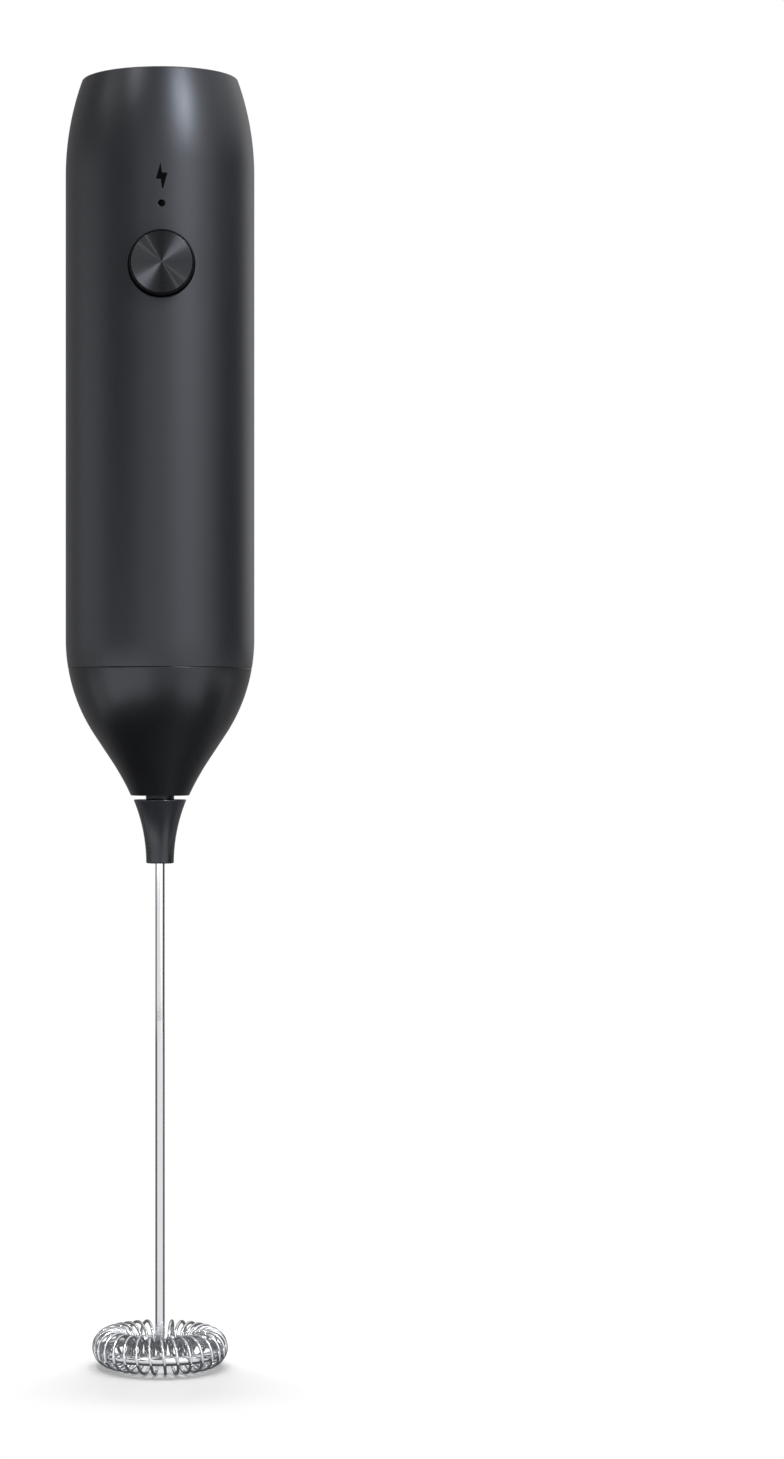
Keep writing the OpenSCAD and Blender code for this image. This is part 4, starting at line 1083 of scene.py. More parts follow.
@dataclass
class PushButton:
    """The button: a black cup with a flange behind the shell, and the spun metal disc let into its front.

    Attributes:
        spread: How much wider the disc is than its solid, in radius.
        rim: Width of the cup's rim round the disc.
        back: Depth of the cup's solid front.
        disc_t: Thickness of the disc.
        seat: Gap between the disc and the cup's rim.
        flange: Radius of the flange.
        flange_t: Its thickness.
        flange_out: Distance of its front from the handle's axis.
        edge: Rounding of the cup's front edge.
        bevel: Cut edge of the disc.
        dish: How far the disc's middle lies below its rim.
        stem: Radius of the stem that meets the switch.
        cup_steps: Steps round the cup.
        disc_steps: Steps round the disc, and from its middle to its rim.
    """

    spread: float = 0.18
    rim: float = 0.2
    back: float = 2.0
    disc_t: float = 0.8
    seat: float = 0.03
    flange: float = 6.7
    flange_t: float = 1.0
    flange_out: float = 13.44
    edge: float = 0.22
    bevel: float = 0.12
    dish: float = 0.05
    stem: float = 1.6
    cup_steps: int = 128
    disc_steps: tuple[int, int] = (160, 70)

    def build(self) -> list[bpy.types.Object]:
        """Makes the cup, the disc and the disc's cut edge. The face dips by dish cos^2 of a quarter turn over its
        radius.

        Returns:
            The pieces.
        """
        low, high = node_box("button_disc")
        height, front, disc_r = middle("button_disc")[2], -low[1], high[0] + self.spread
        radius, edge_r = disc_r + self.rim, disc_r - self.bevel
        floor, stem_end = front - self.disc_t, -node_box("button_cap")[1][1]
        out, under, seat_r = self.flange_out, self.flange_out - self.flange_t, disc_r + self.seat
        cup = rounded([
            (0, stem_end, 0), (self.stem, stem_end, 0.1), (self.stem, front - self.back, 0.1),
            (radius - 1, front - self.back, 0.3), (radius - 1, under, 0.1), (self.flange, under, 0.15),
            (self.flange, out, 0.15), (radius, out, 0), (radius, front, self.edge), (seat_r, front, 0.05),
            (seat_r, floor, 0), (0, floor, 0)])
        around, across = self.disc_steps
        r = np.linspace(0, edge_r, across)
        face = np.stack([r, front - self.dish * np.cos(r / disc_r * np.pi / 2) ** 2], axis=-1)
        cut_z, side_r = front - self.bevel, disc_r - 0.02
        side = rounded([(*face[-1], 0), (edge_r, cut_z, 0), (side_r, cut_z - 0.02, 0), (side_r, floor, 0),
                        (0, floor, 0)])
        cut = rounded([(edge_r - 0.01, front - 0.01, 0.01), (disc_r, cut_z, 0.02),
                       (disc_r, front - 1.6 * self.bevel, 0), (edge_r - 0.01, cut_z, 0)], closed=True)
        disc = revolve(np.vstack([face, side[1:]]), around)
        return [add_piece("button_cup", facing(revolve(cup, self.cup_steps), height), GLOSS, "button",
                          "button_gloss", "button_cap"),
                add_piece("spun_disc_face", facing(disc, height), SPUN_PAINTED_RAYS, "button", "spun_aluminium", "button_disc",
                          sharp=28),
                add_piece("disc_cut_edge", facing(revolve(cut, around, closed=True), height), CUT, "button",
                          "spun_aluminium")]


# ---------------------------------------------------------------- the top

PORT = (8.94, 3.26)  # width and height of the charging socket's shell


@dataclass
class EndCap:
    """The cap in the top, with the charging socket's opening.

    Attributes:
        gap: Gap between the socket and the opening.
        soft: Rounding of the opening's edge.
        plug_r: Radius of the plug below the disc.
        disc_t: Thickness of the disc.
        catch: Reach of the catch, and the heights of its corners above the plug's foot.
        edge: Rounding of the disc's edge.
        count: Number of points in each ring.
    """

    gap: float = 0.15
    soft: float = 0.15
    plug_r: float = 9.4
    disc_t: float = 1.6
    catch: tuple[float, ...] = (0.3, 0.6, 0.95, 1.0)
    edge: float = 0.22
    count: int = 160

    def opening(self, grow: float, z: float) -> np.ndarray:
        """The opening's outline, grown by some amount, at a height."""
        return slot_ring(*PORT, self.gap + grow, z, self.count) + [0, middle("usb_shell")[1], 0]

    def circle(self, radius: float, z: float) -> np.ndarray:
        """A circle round the axis, at a height."""
        return circle_ring(radius, z, self.count, np.pi / self.count)

    def build(self) -> list[bpy.types.Object]:
        """Makes the cap: rings that start as the opening's outline, spread to circles over the top, go down the
        outside and close under the plug.

        Returns:
            The piece.
        """
        low, high = node_box("end_cap")
        bottom, top, r = low[2], high[2], high[0]
        soft, plug = self.soft, self.plug_r
        rings = [self.opening(0, bottom), self.opening(0, top - soft)]
        rings += [self.opening(soft * (1 - math.cos(t)), top - soft * (1 - math.sin(t)))
                  for t in np.radians(np.linspace(15, 90, 6))]
        inner, outer = self.opening(soft + 0.03, top), self.circle(r - self.edge - 0.05, top)
        rings += [inner + (outer - inner) * share for share in (0, 0.3, 0.6, 0.9, 1)]
        reach, *levels = self.catch
        lower, upper, over = (bottom + level for level in levels)
        under = top - self.disc_t
        side = rounded([(r - 1, top, 0), (r, top, self.edge), (r, under, 0.05), (plug, under, 0), (plug, over, 0),
                        (plug + reach, upper, 0.05), (plug + reach, lower, 0.05), (plug - 0.5, bottom, 0.05),
                        (plug - 2, bottom, 0)])[1:]
        rings += [self.circle(*p) for p in side]
        return [add_piece("socket_cap", loft(np.array(rings), closed=True), CAP, "handle", "dark_plastic", "end_cap")]


@dataclass
class ChargingSocket:
    """The charging socket: a drawn steel shell with a contact tongue inside.

    Attributes:
        wall: Thickness of the steel.
        floor: How far the shell's floor reaches in before it closes on the middle.
        tongue: Width and thickness of the tongue.
        contact: Width and thickness of a contact, and how much shorter it is than the tongue.
        contacts: Number of contacts on each face of the tongue.
        margin: Width of the tongue that holds no contact.
        lift: How far the contacts stand above the tongue's middle.
        soft: Rounding of the tongue's ends, and of a contact's.
    """

    wall: float = 0.3
    floor: float = 1.2
    tongue: tuple[float, float] = (6.69, 0.7)
    contact: tuple[float, float, float] = (0.26, 0.05, 0.9)
    contacts: int = 12
    margin: float = 1.2
    lift: float = 0.2
    soft: tuple[float, float] = (0.12, 0.02)

    def shell(self) -> Surface:
        """The steel shell: an outline of (offset, height) carried round the slot, closed by a floor.

        Returns:
            The shell.
        """
        low, high = node_box("usb_shell")
        foot, top, wall = low[2], high[2], self.wall
        outline = rounded([(-self.floor, foot, 0), (0, foot, 0.3), (0, top, 0.12), (-wall, top, 0.12),
                           (-wall, foot + wall, 0.2), (-self.floor, foot + wall, 0)])
        rings = [slot_ring(*PORT, offset, z, 96) for offset, z in outline]
        first, last = (ring.mean(axis=0) + 0 * ring for ring in (rings[0], rings[-1]))
        return loft(np.array([first, *rings, last]) + [0, middle("usb_shell")[1], 0])

    def block(self, centre: np.ndarray, size: tuple[float, float, float], soft: float, count: int = 32) -> Surface:
        """A small block with softened edges: rings of |x|^6 + |y|^6 = 1 stacked up its height.

        Args:
            centre: Its middle.
            size: Its width, depth and height.
            soft: Rounding of its ends.
            count: Number of points in each ring.

        Returns:
            The block.
        """
        a = turns(count) + np.pi / count
        square = np.stack([np.sign(way) * np.abs(way) ** (1 / 3) for way in (np.cos(a), np.sin(a))], axis=-1)
        half = np.array(size) / 2
        t = np.radians([0, 30, 60, 90])
        low, high = soft * (1 - np.sin(t)), soft * (1 - np.cos(t))
        grow = np.concatenate([[-half.min()], -low, -high, [-half.min()]])
        z = np.concatenate([[-half[2]], high - half[2], half[2] - low, [half[2]]])
        scale = np.maximum(half[None, :2] + grow[:, None], 0.0)
        scale[[0, -1]] = 0
        heights = np.broadcast_to(z[:, None, None], (len(z), count, 1))
        return loft(np.concatenate([square[None] * scale[:, None], heights], axis=2) + centre)

    def build(self) -> list[bpy.types.Object]:
        """Makes the shell, the tongue and its contacts.

        Returns:
            The pieces.
        """
        low, high = node_box("usb_tongue")
        centre, depth = middle("usb_tongue"), high[2] - low[2]
        width, thick, shorter = self.contact
        pitch = (self.tongue[0] - self.margin) / (self.contacts - 1)
        strips = [self.block(centre + [(i - (self.contacts - 1) / 2) * pitch, face * self.tongue[1] / 2, self.lift],
                             (width, thick, depth - shorter), self.soft[1])
                  for i in range(self.contacts) for face in (-1, 1)]
        return [add_piece("socket_shell", self.shell(), SOCKET, "handle", "socket_steel", "usb_shell"),
                add_piece("socket_tongue", self.block(centre, (*self.tongue, depth), self.soft[0]), TONGUE, "handle",
                          "dark_plastic", "usb_tongue"),
                add_piece("socket_contacts", strips[0].joined(*strips[1:]), GOLD, "handle", "brass_strip")]


# ---------------------------------------------------------------- the nose and the drive

@dataclass
class Nose:
    """The tapered nose: a shoulder arc, a straight flank and a hollow flare down to the tip.

    Attributes:
        flank: Slope of the flank, in degrees from the axis.
        flare: Radius of the hollow curve.
        tip_slope: Slope at the tip, in degrees.
        tip: Radius of the tip.
        wall: Thickness of the wall.
        bore: Radius of the hole for the drive hub.
        seal: Radius and foot of the seal's seat, measured down from the motor's seat.
        seat_w: Width of the motor's seat round the seal.
        seat_drop: The motor's seat below the parting line.
        inside: How far below that seat the inner wall starts.
        spigot: Outer and inner radius of the spigot, and its height.
        groove: Radius, foot and height of the seal's groove in the spigot.
        tip_edge: Rounding of the tip.
    """

    flank: float = 33.5
    flare: float = 47.0
    tip_slope: float = 24.7
    tip: float = 5.25
    wall: float = 1.8
    bore: float = 2.95
    seal: tuple[float, float] = (4.5, 4.0)
    seat_w: float = 1.5
    seat_drop: float = 9.5
    inside: float = 6.4
    spigot: tuple[float, float, float] = (15.1, 13.0, 5.0)
    groove: tuple[float, float, float] = (14.26, 0.7, 1.2)
    tip_edge: float = 0.22

    def curve(self, r: float, parting: float, inset: float) -> np.ndarray:
        """The nose's outline from the parting line down to the tip, moved inward by an inset. The shoulder is the
        handle's own arc.

        Args:
            r: Radius of the handle.
            parting: Height of the parting line.
            inset: How far inside the surface it runs.

        Returns:
            Rows of (r, z).
        """
        shoulder, level = Handle.shoulder, parting + Handle.shoulder_h
        slope, tip = math.radians(self.flank), math.radians(self.tip_slope)
        drop = shoulder * (1 - math.cos(slope)) + self.flare * (math.cos(tip) - math.cos(slope))
        length = (r - self.tip - drop) / math.sin(slope)
        top = np.array([r - shoulder * (1 - math.cos(slope)), level - shoulder * math.sin(slope)])
        end = top - length * np.array([math.sin(slope), math.cos(slope)])
        centre = end + self.flare * np.array([math.cos(slope), -math.sin(slope)])
        start = -math.degrees(math.asin(Handle.shoulder_h / (shoulder - inset)))
        return np.vstack([arc((r - shoulder, level), shoulder - inset, start, -self.flank, 40),
                          arc(tuple(centre), self.flare + inset, 180 - self.flank, 180 - self.tip_slope, 24)])

    def build(self) -> list[bpy.types.Object]:
        """Makes the nose, with the spigot above it and the seats for the seal and the motor inside.

        Returns:
            The piece.
        """
        low, high = node_box("nose_cone")
        r, tip = node_box("handle_shell")[1][0], low[2]
        spigot_r, spigot_in, spigot_h = self.spigot
        groove_r, groove_z, groove_h = self.groove
        seal_r, seal_h = self.seal
        parting = high[2] - spigot_h
        seat, seat_r, groove_foot = parting - self.seat_drop, seal_r + self.seat_w, parting + groove_z
        outer, inner = self.curve(r, parting, 0), self.curve(r, parting, self.wall)
        inner = inner[(inner[:, 0] < spigot_in) & (inner[:, 1] > seat - self.inside)]
        outline = rounded([
            (outer[0][0], parting, Handle.edge), *plain(outer[1:-1]), (self.tip, tip, self.tip_edge),
            (self.bore, tip, 0.15), (self.bore, seat - seal_h, 0), (seal_r, seat - seal_h, 0), (seal_r, seat, 0.1),
            (seat_r, seat, 0.1), (seat_r, inner[-1][1], 0.2), *plain(inner[::-1]), (spigot_in, inner[0][1] + 0.5, 0),
            (spigot_in, high[2], 0.15), (spigot_r, high[2], 0.3), (spigot_r, groove_foot + groove_h, 0),
            (groove_r, groove_foot + groove_h, 0), (groove_r, groove_foot, 0), (spigot_r, groove_foot, 0),
            (spigot_r, parting, 0)], closed=True)
        return [add_piece("tapered_nose", revolve(outline, 256, closed=True), NOSE_PAINTED_SHADE, "handle", "nose_plastic",
                          "nose_cone")]


@dataclass
class DriveHub:
    """The hub on the motor's shaft: a round neck and the six-sided plug that carries the whisk.

    Attributes:
        neck: Radius of the neck.
        across: Width of the plug over its flats.
        lead: Rows of (height above the plug's end, how much narrower the plug is there).
        shaft: Radius of the motor's shaft.
        grip: Depth of the shaft's bore.
        count: Number of points in each ring.
    """

    neck: float = 2.55
    across: float = 3.6
    lead: tuple[tuple[float, float], ...] = ((0, 0.7), (0.1, 0.25), (0.4, 0))
    shaft: float = 1.0
    grip: float = 6.4
    count: int = 96

    def build(self) -> list[bpy.types.Object]:
        """Makes the hub: rings that change from the hexagon to a circle at the neck's foot.

        Returns:
            The piece.
        """
        low, high = node_box("drive_hub")
        end, top, neck_end = low[2], high[2], node_box("whisk_sleeve")[1][2]
        rings = [circle_ring(0, end, self.count)]
        rings += [hexagon_ring(self.across - less, end + z, self.count) for z, less in self.lead]
        rings += [hexagon_ring(self.across, neck_end, self.count)]
        rings += [circle_ring(*p, self.count) for p in rounded([
            (self.across / 2 + 0.3, neck_end, 0), (self.neck, neck_end, 0.12), (self.neck, top, 0.15),
            (self.shaft, top, 0), (self.shaft, top - self.grip, 0), (0, top - self.grip, 0)])]
        return [add_piece("drive_plug", loft(np.array(rings)), HUB, "rotor", "hub_plastic", "drive_hub")]


# ---------------------------------------------------------------- the whisk

@dataclass
class WhiskSleeve:
    """The flared sleeve that grips the hub's plug and holds the wire.

    Attributes:
        top: Radius of its upper edge.
        end: Radius of its lower end.
        across: Width of the six-sided socket over its flats.
        socket: Depth of the socket.
        wire: Radius of the wire.
        hold: Depth to which the wire is held.
        edge: Rounding of the upper edge, and of the lower one.
        count: Number of points in each ring.
    """

    top: float = 4.8
    end: float = 2.5
    across: float = 3.7
    socket: float = 5.5
    wire: float = 0.85
    hold: float = 5.4
    edge: tuple[float, float] = (0.16, 0.22)
    count: int = 144

    def build(self) -> list[bpy.types.Object]:
        """Makes the sleeve: up the wire's bore, down round the hollow flare, an arc that is upright at the lower end,
        and into the hexagonal socket at the top.

        Returns:
            The piece.
        """
        low, high = node_box("whisk_sleeve")
        foot, top = low[2], high[2]
        length, spread = top - foot, self.top - self.end
        flare = (length ** 2 + spread ** 2) / (2 * spread)
        side = arc((self.end + flare, foot), flare, 180, 180 - math.degrees(math.asin(length / flare)), 30)
        outer = rounded([(self.wire, foot + self.hold, 0), (self.wire, foot, 0.05), (self.end, foot, self.edge[1]),
                         *plain(side[1:-1]), (self.top, top, self.edge[0]), (self.across / 2 + 0.5, top, 0)])
        rings = [circle_ring(*p, self.count) for p in ((0, foot + self.hold), *outer)]
        rings += [hexagon_ring(across, z, self.count) for across, z in (
            (self.across + 0.2, top), (self.across, top - 0.15), (self.across, top - self.socket))]
        rings += [circle_ring(0, top - self.socket, self.count)]
        return [add_piece("whisk_sleeve_body", loft(np.array(rings)), SLEEVE, "whisk", "sleeve_plastic",
                          "whisk_sleeve")]


@dataclass
class Whisk:
    """The whisk's wire, which runs down the axis, turns out into an arm and round into a ring, and the fine coil
    that is wound on the ring.

    Attributes:
        wire: Radius of the wire.
        tube: Radius of the coil's tube, outside.
        strand: Radius of the coil's wire.
        bend: Radius of the wire's bends.
        corner: Length of the straight piece between the arm's corner and the ring.
        slope: Slope of the line from the coil's centre to the ring, in degrees.
        clear: Gap between the ring and the coil.
        coils: Number of turns.
        phase: Turn of the coil about the axis, in degrees from the front.
        arm_gap: Gap between the arm and the nearest turn.
        ring_gap: Opening of the ring, in degrees.
        steps: Points along each turn of the coil.
        points: Points along the wire's upright line, bend, arm, corner and ring.
        sides: Points round the wire, and round the coil's wire.
        caps: Steps in their rounded ends.
    """

    wire: float = 0.8524873
    tube: float = 3.4
    strand: float = 0.275
    bend: float = 2.0
    corner: float = 0.6
    slope: float = 17.4
    clear: float = 0.02
    coils: int = 29
    phase: float = -3.5
    arm_gap: float = 0.2
    ring_gap: float = 8.5
    steps: int = 44
    points: tuple[int, ...] = (60, 14, 12, 22, 240)
    sides: tuple[int, int] = (28, 10)
    caps: tuple[int, int] = (6, 4)

    def __post_init__(self) -> None:
        """Works out the ring, the coil's pitch and the arm's direction from the frame's boxes."""
        self.path_r = self.tube - self.strand
        self.coil_z = middle("whisk_coil")[2]
        self.coil_r = node_box("whisk_coil")[1][0] - self.tube
        self.top = node_box("whisk_shaft")[1][2]
        offset, slope = self.path_r - self.strand - self.wire - self.clear, math.radians(self.slope)
        self.ring_r = self.coil_r + offset * math.cos(slope)
        self.ring_z = self.coil_z - offset * math.sin(slope)
        near = (180 - self.slope) / 180
        gap = 2 * math.degrees(math.asin((self.wire + self.strand + self.arm_gap) / (self.coil_r - self.path_r)))
        self.pitch = (360 - gap) / (self.coils - near)
        gap -= near * self.pitch
        self.start = self.phase + self.pitch * (self.slope / 360 - self.coils / 2)
        self.arm_turn = self.start - gap / 2 - 90

    def coil_surface(self) -> Surface:
        """The coil: t degrees round the tube from the ring the strand lies at out = R + p cos(slope + t) and
        z = Z - p sin(slope + t), while it moves round the axis by a pitch each turn.

        Returns:
            The coil.
        """
        t = np.linspace(0, 360 * self.coils, self.steps * self.coils + 1)
        turn, roll = np.radians(self.start - 90 + self.pitch * t / 360), np.radians(self.slope + t)
        out = polar(1.0, turn, 0.0)
        centre = self.coil_r * out + [0, 0, self.coil_z]
        path = centre + self.path_r * (np.cos(roll)[:, None] * out - np.sin(roll)[:, None] * np.array([0, 0, 1]))
        return sweep(*round_ends(path, path - centre, self.strand, self.caps[1]), self.sides[1])

    def wire_surface(self) -> Surface:
        """The wire: a line down the axis, a quarter bend into the arm, the corner's bend, a short straight piece and
        the ring. Each piece is a circle or a line laid end to end.

        Returns:
            The wire.
        """
        b, z, out = self.bend, self.ring_z, self.ring_r - self.bend
        corner = math.degrees(math.atan(self.corner / out) + math.asin(b / math.hypot(out, self.corner)))
        arm = out * math.cos(math.radians(corner)) + self.corner * math.sin(math.radians(corner))
        down, bow, line, turn, ring = self.points
        steep = np.vstack([np.linspace((0, self.top - self.wire), (0, z + b), down),
                           arc((b, z + b), b, 180, 270, bow)[1:]])
        level = np.vstack([np.linspace((b, 0), (arm, 0), line)[1:], arc((arm, b), b, -90, corner, turn)[1:],
                           arc((0, 0), self.ring_r, corner, 360 - self.ring_gap, ring)])
        path = np.vstack([np.insert(steep, 1, 0, axis=1), np.insert(level, 2, z, axis=1)])
        side = np.cross([0, 0, 1], np.gradient(path, axis=0))
        side[:len(steep)] = [0, 1, 0]
        bar = sweep(*round_ends(path, side, self.wire, self.caps[0]), self.sides[0])
        t = math.radians(self.arm_turn)
        spin = np.array([[math.cos(t), math.sin(t), 0], [-math.sin(t), math.cos(t), 0], [0, 0, 1]])
        return Surface(bar.points @ spin, bar.quads)

    def build(self) -> list[bpy.types.Object]:
        """Makes the wire and the coil.

        Returns:
            The pieces.
        """
        return [add_piece("whisk_wire", self.wire_surface(), WIRE, "whisk", "polished_wire", "whisk_shaft", sharp=70),
                add_piece("whisk_spring", self.coil_surface(), COIL, "whisk", "polished_wire", "whisk_coil", sharp=80)]


# ---------------------------------------------------------------- what shows as it is, and the studio

class InnerWorks:
    """The battery, board, motor and frame inside the handle, which show as the frame has them."""

    def build(self) -> list[bpy.types.Object]:
        """Gives each frame node that still shows its finish.

        Returns:
            The nodes.
        """
        shown = {name: node for name, node in frame["nodes"].items() if not node.hide_render}
        for name, node in shown.items():
            INNER[SAME.get(name, name)].dress(node)
        return list(shown.values())


@dataclass
class Softbox:
    """A studio light.

    Attributes:
        name: Its name.
        azimuth: Degrees to the right of the camera's side, seen from above.
        elevation: Degrees above the level of the target.
        distance: Metres from the target.
        size: Width and height in metres.
        radiance: Brightness of its face, where 1 is white.
        colour: Its tint.
        matt: Whether it lights matt surfaces.
        gloss: Whether it shows in reflections.
    """

    name: str
    azimuth: float
    elevation: float
    distance: float
    size: tuple[float, float]
    radiance: float
    colour: Colour = (1.0, 1.0, 1.0)
    matt: bool = True
    gloss: bool = True

    def build(self, target: np.ndarray) -> None:
        """Places the light.

        Args:
            target: The point that it faces, in metres.
        """
        lamp = bpy.data.lights.new(self.name, "AREA")
        lamp.shape = "RECTANGLE"
        lamp.size, lamp.size_y = self.size
        lamp.energy = self.radiance * math.pi * self.size[0] * self.size[1]
        lamp.color = self.colour
        light = add_object(self.name, lamp)
        a, e = math.radians(self.azimuth), math.radians(self.elevation)
        light.location = target + from_front(math.cos(e), np.array(a), math.sin(e)) * self.distance
        light.rotation_euler = (math.pi / 2 - e, 0, a)
        light.visible_camera = False
        light.visible_diffuse, light.visible_glossy = self.matt, self.gloss


@dataclass
class Card:
    """A card that only reflections see, to shape the dark and bright lines in the gloss.

    Attributes:
        name: Its name.
        azimuth: First and last direction, in degrees to the right of the camera's side.
        start: Radius and height of its first edge, in metres.
        end: Radius and height of its last edge.
        grey: How bright the card is, where 1 is white.
        grid: Points from edge to edge, and round the axis.
    """

    name: str
    azimuth: tuple[float, float]
    start: tuple[float, float]
    end: tuple[float, float]
    grey: float = 0.0
    grid: tuple[int, int] = (5, 25)

    def build(self) -> None:
        """Makes the card: the line between its two edges, carried round the axis over its directions. It is seen
        from the axis or from above, and clear from its other side, so it goes from its inner or lower edge outwards
        or upwards."""
        rows, columns = self.grid
        r, z = (np.linspace(*pair, rows)[:, None] for pair in zip(self.start, self.end))
        points = from_front(r, np.radians(np.linspace(*self.azimuth, columns)), z)
        quads = grid_quads(rows, columns, False, False).reshape(-1, 4)[:, ::-1]
        card = add_mesh(self.name, points.reshape(-1, 3), quads.tolist())
        material = bpy.data.materials.new(self.name)
        tree = emptied(material)
        one_sided(tree, add_node(tree, "Emission", {"Strength": self.grey}))
        card.data.materials.append(material)
        card.visible_camera = card.visible_diffuse = card.visible_shadow = card.visible_transmission = False
        card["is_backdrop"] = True


@dataclass
class Studio:
    """The floor, the white surroundings, the lights and the camera.

    Attributes:
        ambient: Brightness of the surroundings as a light.
        fade: Distances from the origin over which the floor turns plain white to the eye, in metres.
        floor_colour: Colour of the floor near the object.
        floor_r: Radius of the floor, and its drop below the whisk, in millimetres.
        floor_n: Number of its sides.
        lift: Brightness that the near floor adds to what the eye sees.
        target: What the lights face, in metres.
        place: How far the camera stands to the right of the front, its distance from the axis and its height.
        shift: How far the picture reaches out to the right, as a share of its height.
        lens: Focal length on a sensor of 36 mm.
    """

    ambient: float = 0.35
    fade: tuple[float, float] = (0.1638, 0.168)
    floor_colour: Colour = (0.91, 0.91, 0.91)
    floor_r: tuple[float, float] = (6000, 0.1)
    floor_n: int = 96
    lift: float = 0.05
    target: tuple[float, float, float] = (0.0, 0.0, 0.01)
    place: tuple[float, float, float] = (-0.0089, 0.602, -0.04706)
    shift: float = 0.159
    lens: float = 82.4

    def surroundings(self) -> None:
        """A world that is plain white to the eye, in reflections and through glass, and a softer light to everything
        else."""
        world = bpy.context.scene.world = bpy.data.worlds.new("surroundings")
        tree = emptied(world)
        ray = add_node(tree, "LightPath")
        seen = ray["Is Camera Ray"].math("MAXIMUM", ray["Is Glossy Ray"]).math("MAXIMUM", ray["Is Transmission Ray"])
        soft, white = (add_node(tree, "Background", {"Color": (1, 1, 1, 1), "Strength": strength})
                       for strength in (self.ambient, 1.0))
        add_node(tree, "OutputWorld", {0: add_node(tree, "MixShader", {0: seen, 1: soft, 2: white})})

    def floor(self) -> None:
        """The floor: a wide disc just under the whisk. It takes the object's shadow, its own light to the eye lifts
        it to the white of the surroundings away from the shadow, and it is clear from below. It goes with the
        whisk, so that it stays under it when the whisk is pulled off."""
        radius, drop = self.floor_r
        points = circle_ring(radius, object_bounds()[0].z / MM - drop, self.floor_n)
        floor = add_mesh("floor", points * MM, [list(range(self.floor_n))])
        material = bpy.data.materials.new("floor")
        tree = emptied(material)
        ray = add_node(tree, "LightPath")
        seen = ray["Is Camera Ray"].math("MAXIMUM", ray["Is Glossy Ray"])
        away = add_node(tree, "VectorMath", {0: add_node(tree, "TexCoord")["Object"]}, operation="LENGTH")["Value"]
        fade = add_node(tree, "MapRange", {"Value": away, "From Min": self.fade[0], "From Max": self.fade[1]},
                        interpolation_type="SMOOTHSTEP")
        matt = add_node(tree, "BsdfDiffuse", {"Color": (*self.floor_colour, 1)})
        own = add_node(tree, "Emission", {"Strength": ray["Is Camera Ray"] * self.lift})
        near = add_node(tree, "AddShader", {0: matt, 1: own})
        one_sided(tree, add_node(tree, "MixShader", {0: fade["Result"] * seen, 1: near, 2: add_node(tree, "Emission")}))
        floor.data.materials.append(material)
        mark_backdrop(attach(floor, "whisk"))

    def lights(self) -> None:
        """The softboxes round the object, and the grey and bright cards between them."""
        for box in (Softbox("right_front", 33, 8, 0.9, (0.6, 0.9), 1.02, (0.95, 0.97, 1.0)),
                    Softbox("high_right", 32, 37.5, 0.7, (0.14, 0.27), 31.0, (0.90, 0.94, 1.0), matt=False),
                    Softbox("high_left", -42, 49, 0.7, (0.03, 0.12), 60.0, (1.0, 0.97, 0.93), matt=False),
                    Softbox("side_left", -80, 39, 0.7, (0.02, 0.1), 50.0, (1.0, 0.97, 0.93), matt=False),
                    Softbox("overhead", 180, 84, 1.0, (0.14, 0.14), 62.0, gloss=False),
                    Softbox("behind_left", -145, 58, 1.0, (0.5, 0.5), 4.9, gloss=False),
                    Softbox("behind_right", 145, 58, 1.0, (0.5, 0.5), 4.9, gloss=False)):
            box.build(np.array(self.target))
        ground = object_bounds()[0].z - 5e-5
        for card in (Card("card_left", (-70, -28), (0.5, -0.07), (0.5, 0.6), 0.13),
                     Card("card_back_left", (-178, -112), (0.5, -0.05), (0.5, 0.6), 0.3),
                     Card("card_back_right", (150, 182), (0.5, -0.05), (0.5, 0.6), 0.5),
                     Card("card_high_left", (-114, -72), (0.48, 0.15), (0.2, 0.55), 0.15),
                     Card("card_high", (-22, 8), (0.45, 0.25), (0.08, 0.6), 0.1),
                     Card("card_right", (70, 120), (0.5, -0.15), (0.5, 0.2)),
                     Card("glow_left", (-74, -12), (0.106, -0.109), (0.2, -0.1174), 2.1),
                     Card("glow_left_high", (-74, -12), (0.12, -0.078), (0.12, -0.061), 2.1),
                     Card("glow_right", (26, 60), (0.101, -0.1087), (0.2, -0.1174), 1.8),
                     Card("glow_right_high", (26, 60), (0.12, -0.078), (0.12, -0.061), 1.8),
                     Card("whisk_ring", (72, 288), (0.1, ground), (0.1, -0.11), 0.15),
                     Card("edge_left", (-105, -78), (0.5, ground), (0.5, -0.09), 0.28),
                     Card("low_back", (165, 255), (0.101, ground), (0.5, -0.05), 0.28),
                     Card("low_right", (105, 165), (0.101, ground), (0.5, -0.05), 0.3),
                     Card("under_left", (-105, -12), (0.02, -0.1014), (0.105, -0.109)),
                     Card("under_middle", (-12, 22), (0.02, -0.1014), (0.115, -0.1099), 0.07),
                     Card("under_right", (22, 60), (0.02, -0.1014), (0.1, -0.1086), 0.22),
                     Card("under_side", (60, 100), (0.02, -0.1014), (0.2, -0.1174), 0.1),
                     Card("under_whisk", (-72, 72), (0.0, ground), (0.014, ground), 0.1),
                     Card("behind_whisk", (72, 288), (0.0, ground), (0.101, ground), 0.15)):
            card.build()

    def camera(self) -> None:
        """The camera: level, straight in front, with its picture shifted so that the object stands to the left."""
        data = bpy.data.cameras.new("camera")
        data.sensor_fit, data.sensor_width, data.lens, data.shift_x = "AUTO", 36, self.lens, self.shift
        data.clip_start, data.clip_end = 0.01, 50
        camera = bpy.context.scene.camera = add_object("camera", data)
        aside, distance, height = self.place
        camera.location = (aside, -distance, height)
        camera.rotation_euler = (math.pi / 2, 0, math.atan2(aside, distance))

    def build(self) -> None:
        """Sets up the whole studio, with plain colour handling."""
        bpy.context.scene.view_settings.view_transform = "Standard"
        self.surroundings()
        self.floor()
        self.lights()
        self.camera()


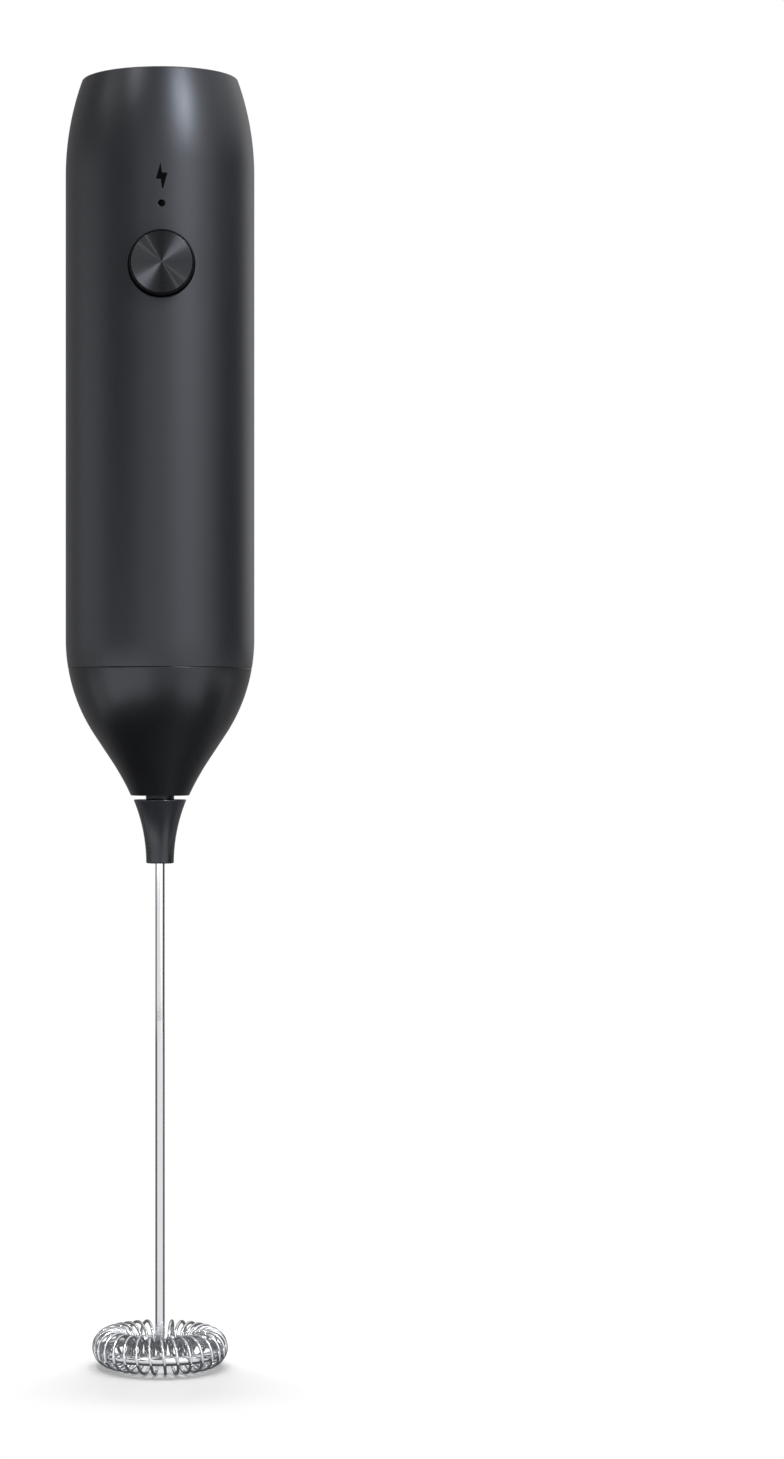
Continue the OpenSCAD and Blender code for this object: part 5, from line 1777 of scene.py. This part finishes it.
def clear_start() -> None:
    """Removes what an empty Blender file starts with, and keeps the frame."""
    kept = {*frame["nodes"].values(), *frame["bodies"].values()}
    for thing in [o for o in bpy.data.objects if o not in kept]:
        bpy.data.objects.remove(thing)


def main() -> None:
    """Builds the frother part by part and reports each piece, then sets up the studio."""
    logging.basicConfig(level=logging.INFO, format="%(name)s: %(message)s")
    clear_start()
    for part in (Handle(), ChargeSymbol(), Indicator(), PushButton(), EndCap(), ChargingSocket(), Nose(), DriveHub(),
                 WhiskSleeve(), Whisk(), InnerWorks()):
        for piece in part.build():
            log.info("%s: %s, %d faces", type(part).__name__, piece.name, len(piece.data.polygons))
    Studio().build()
    sizes = {name: [list(corner) for corner in box] for name, box in (("cad", frame_box), ("visual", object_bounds()))}
    log.info("sizes: %s", sizes)


if __name__ == "__main__":
    main()
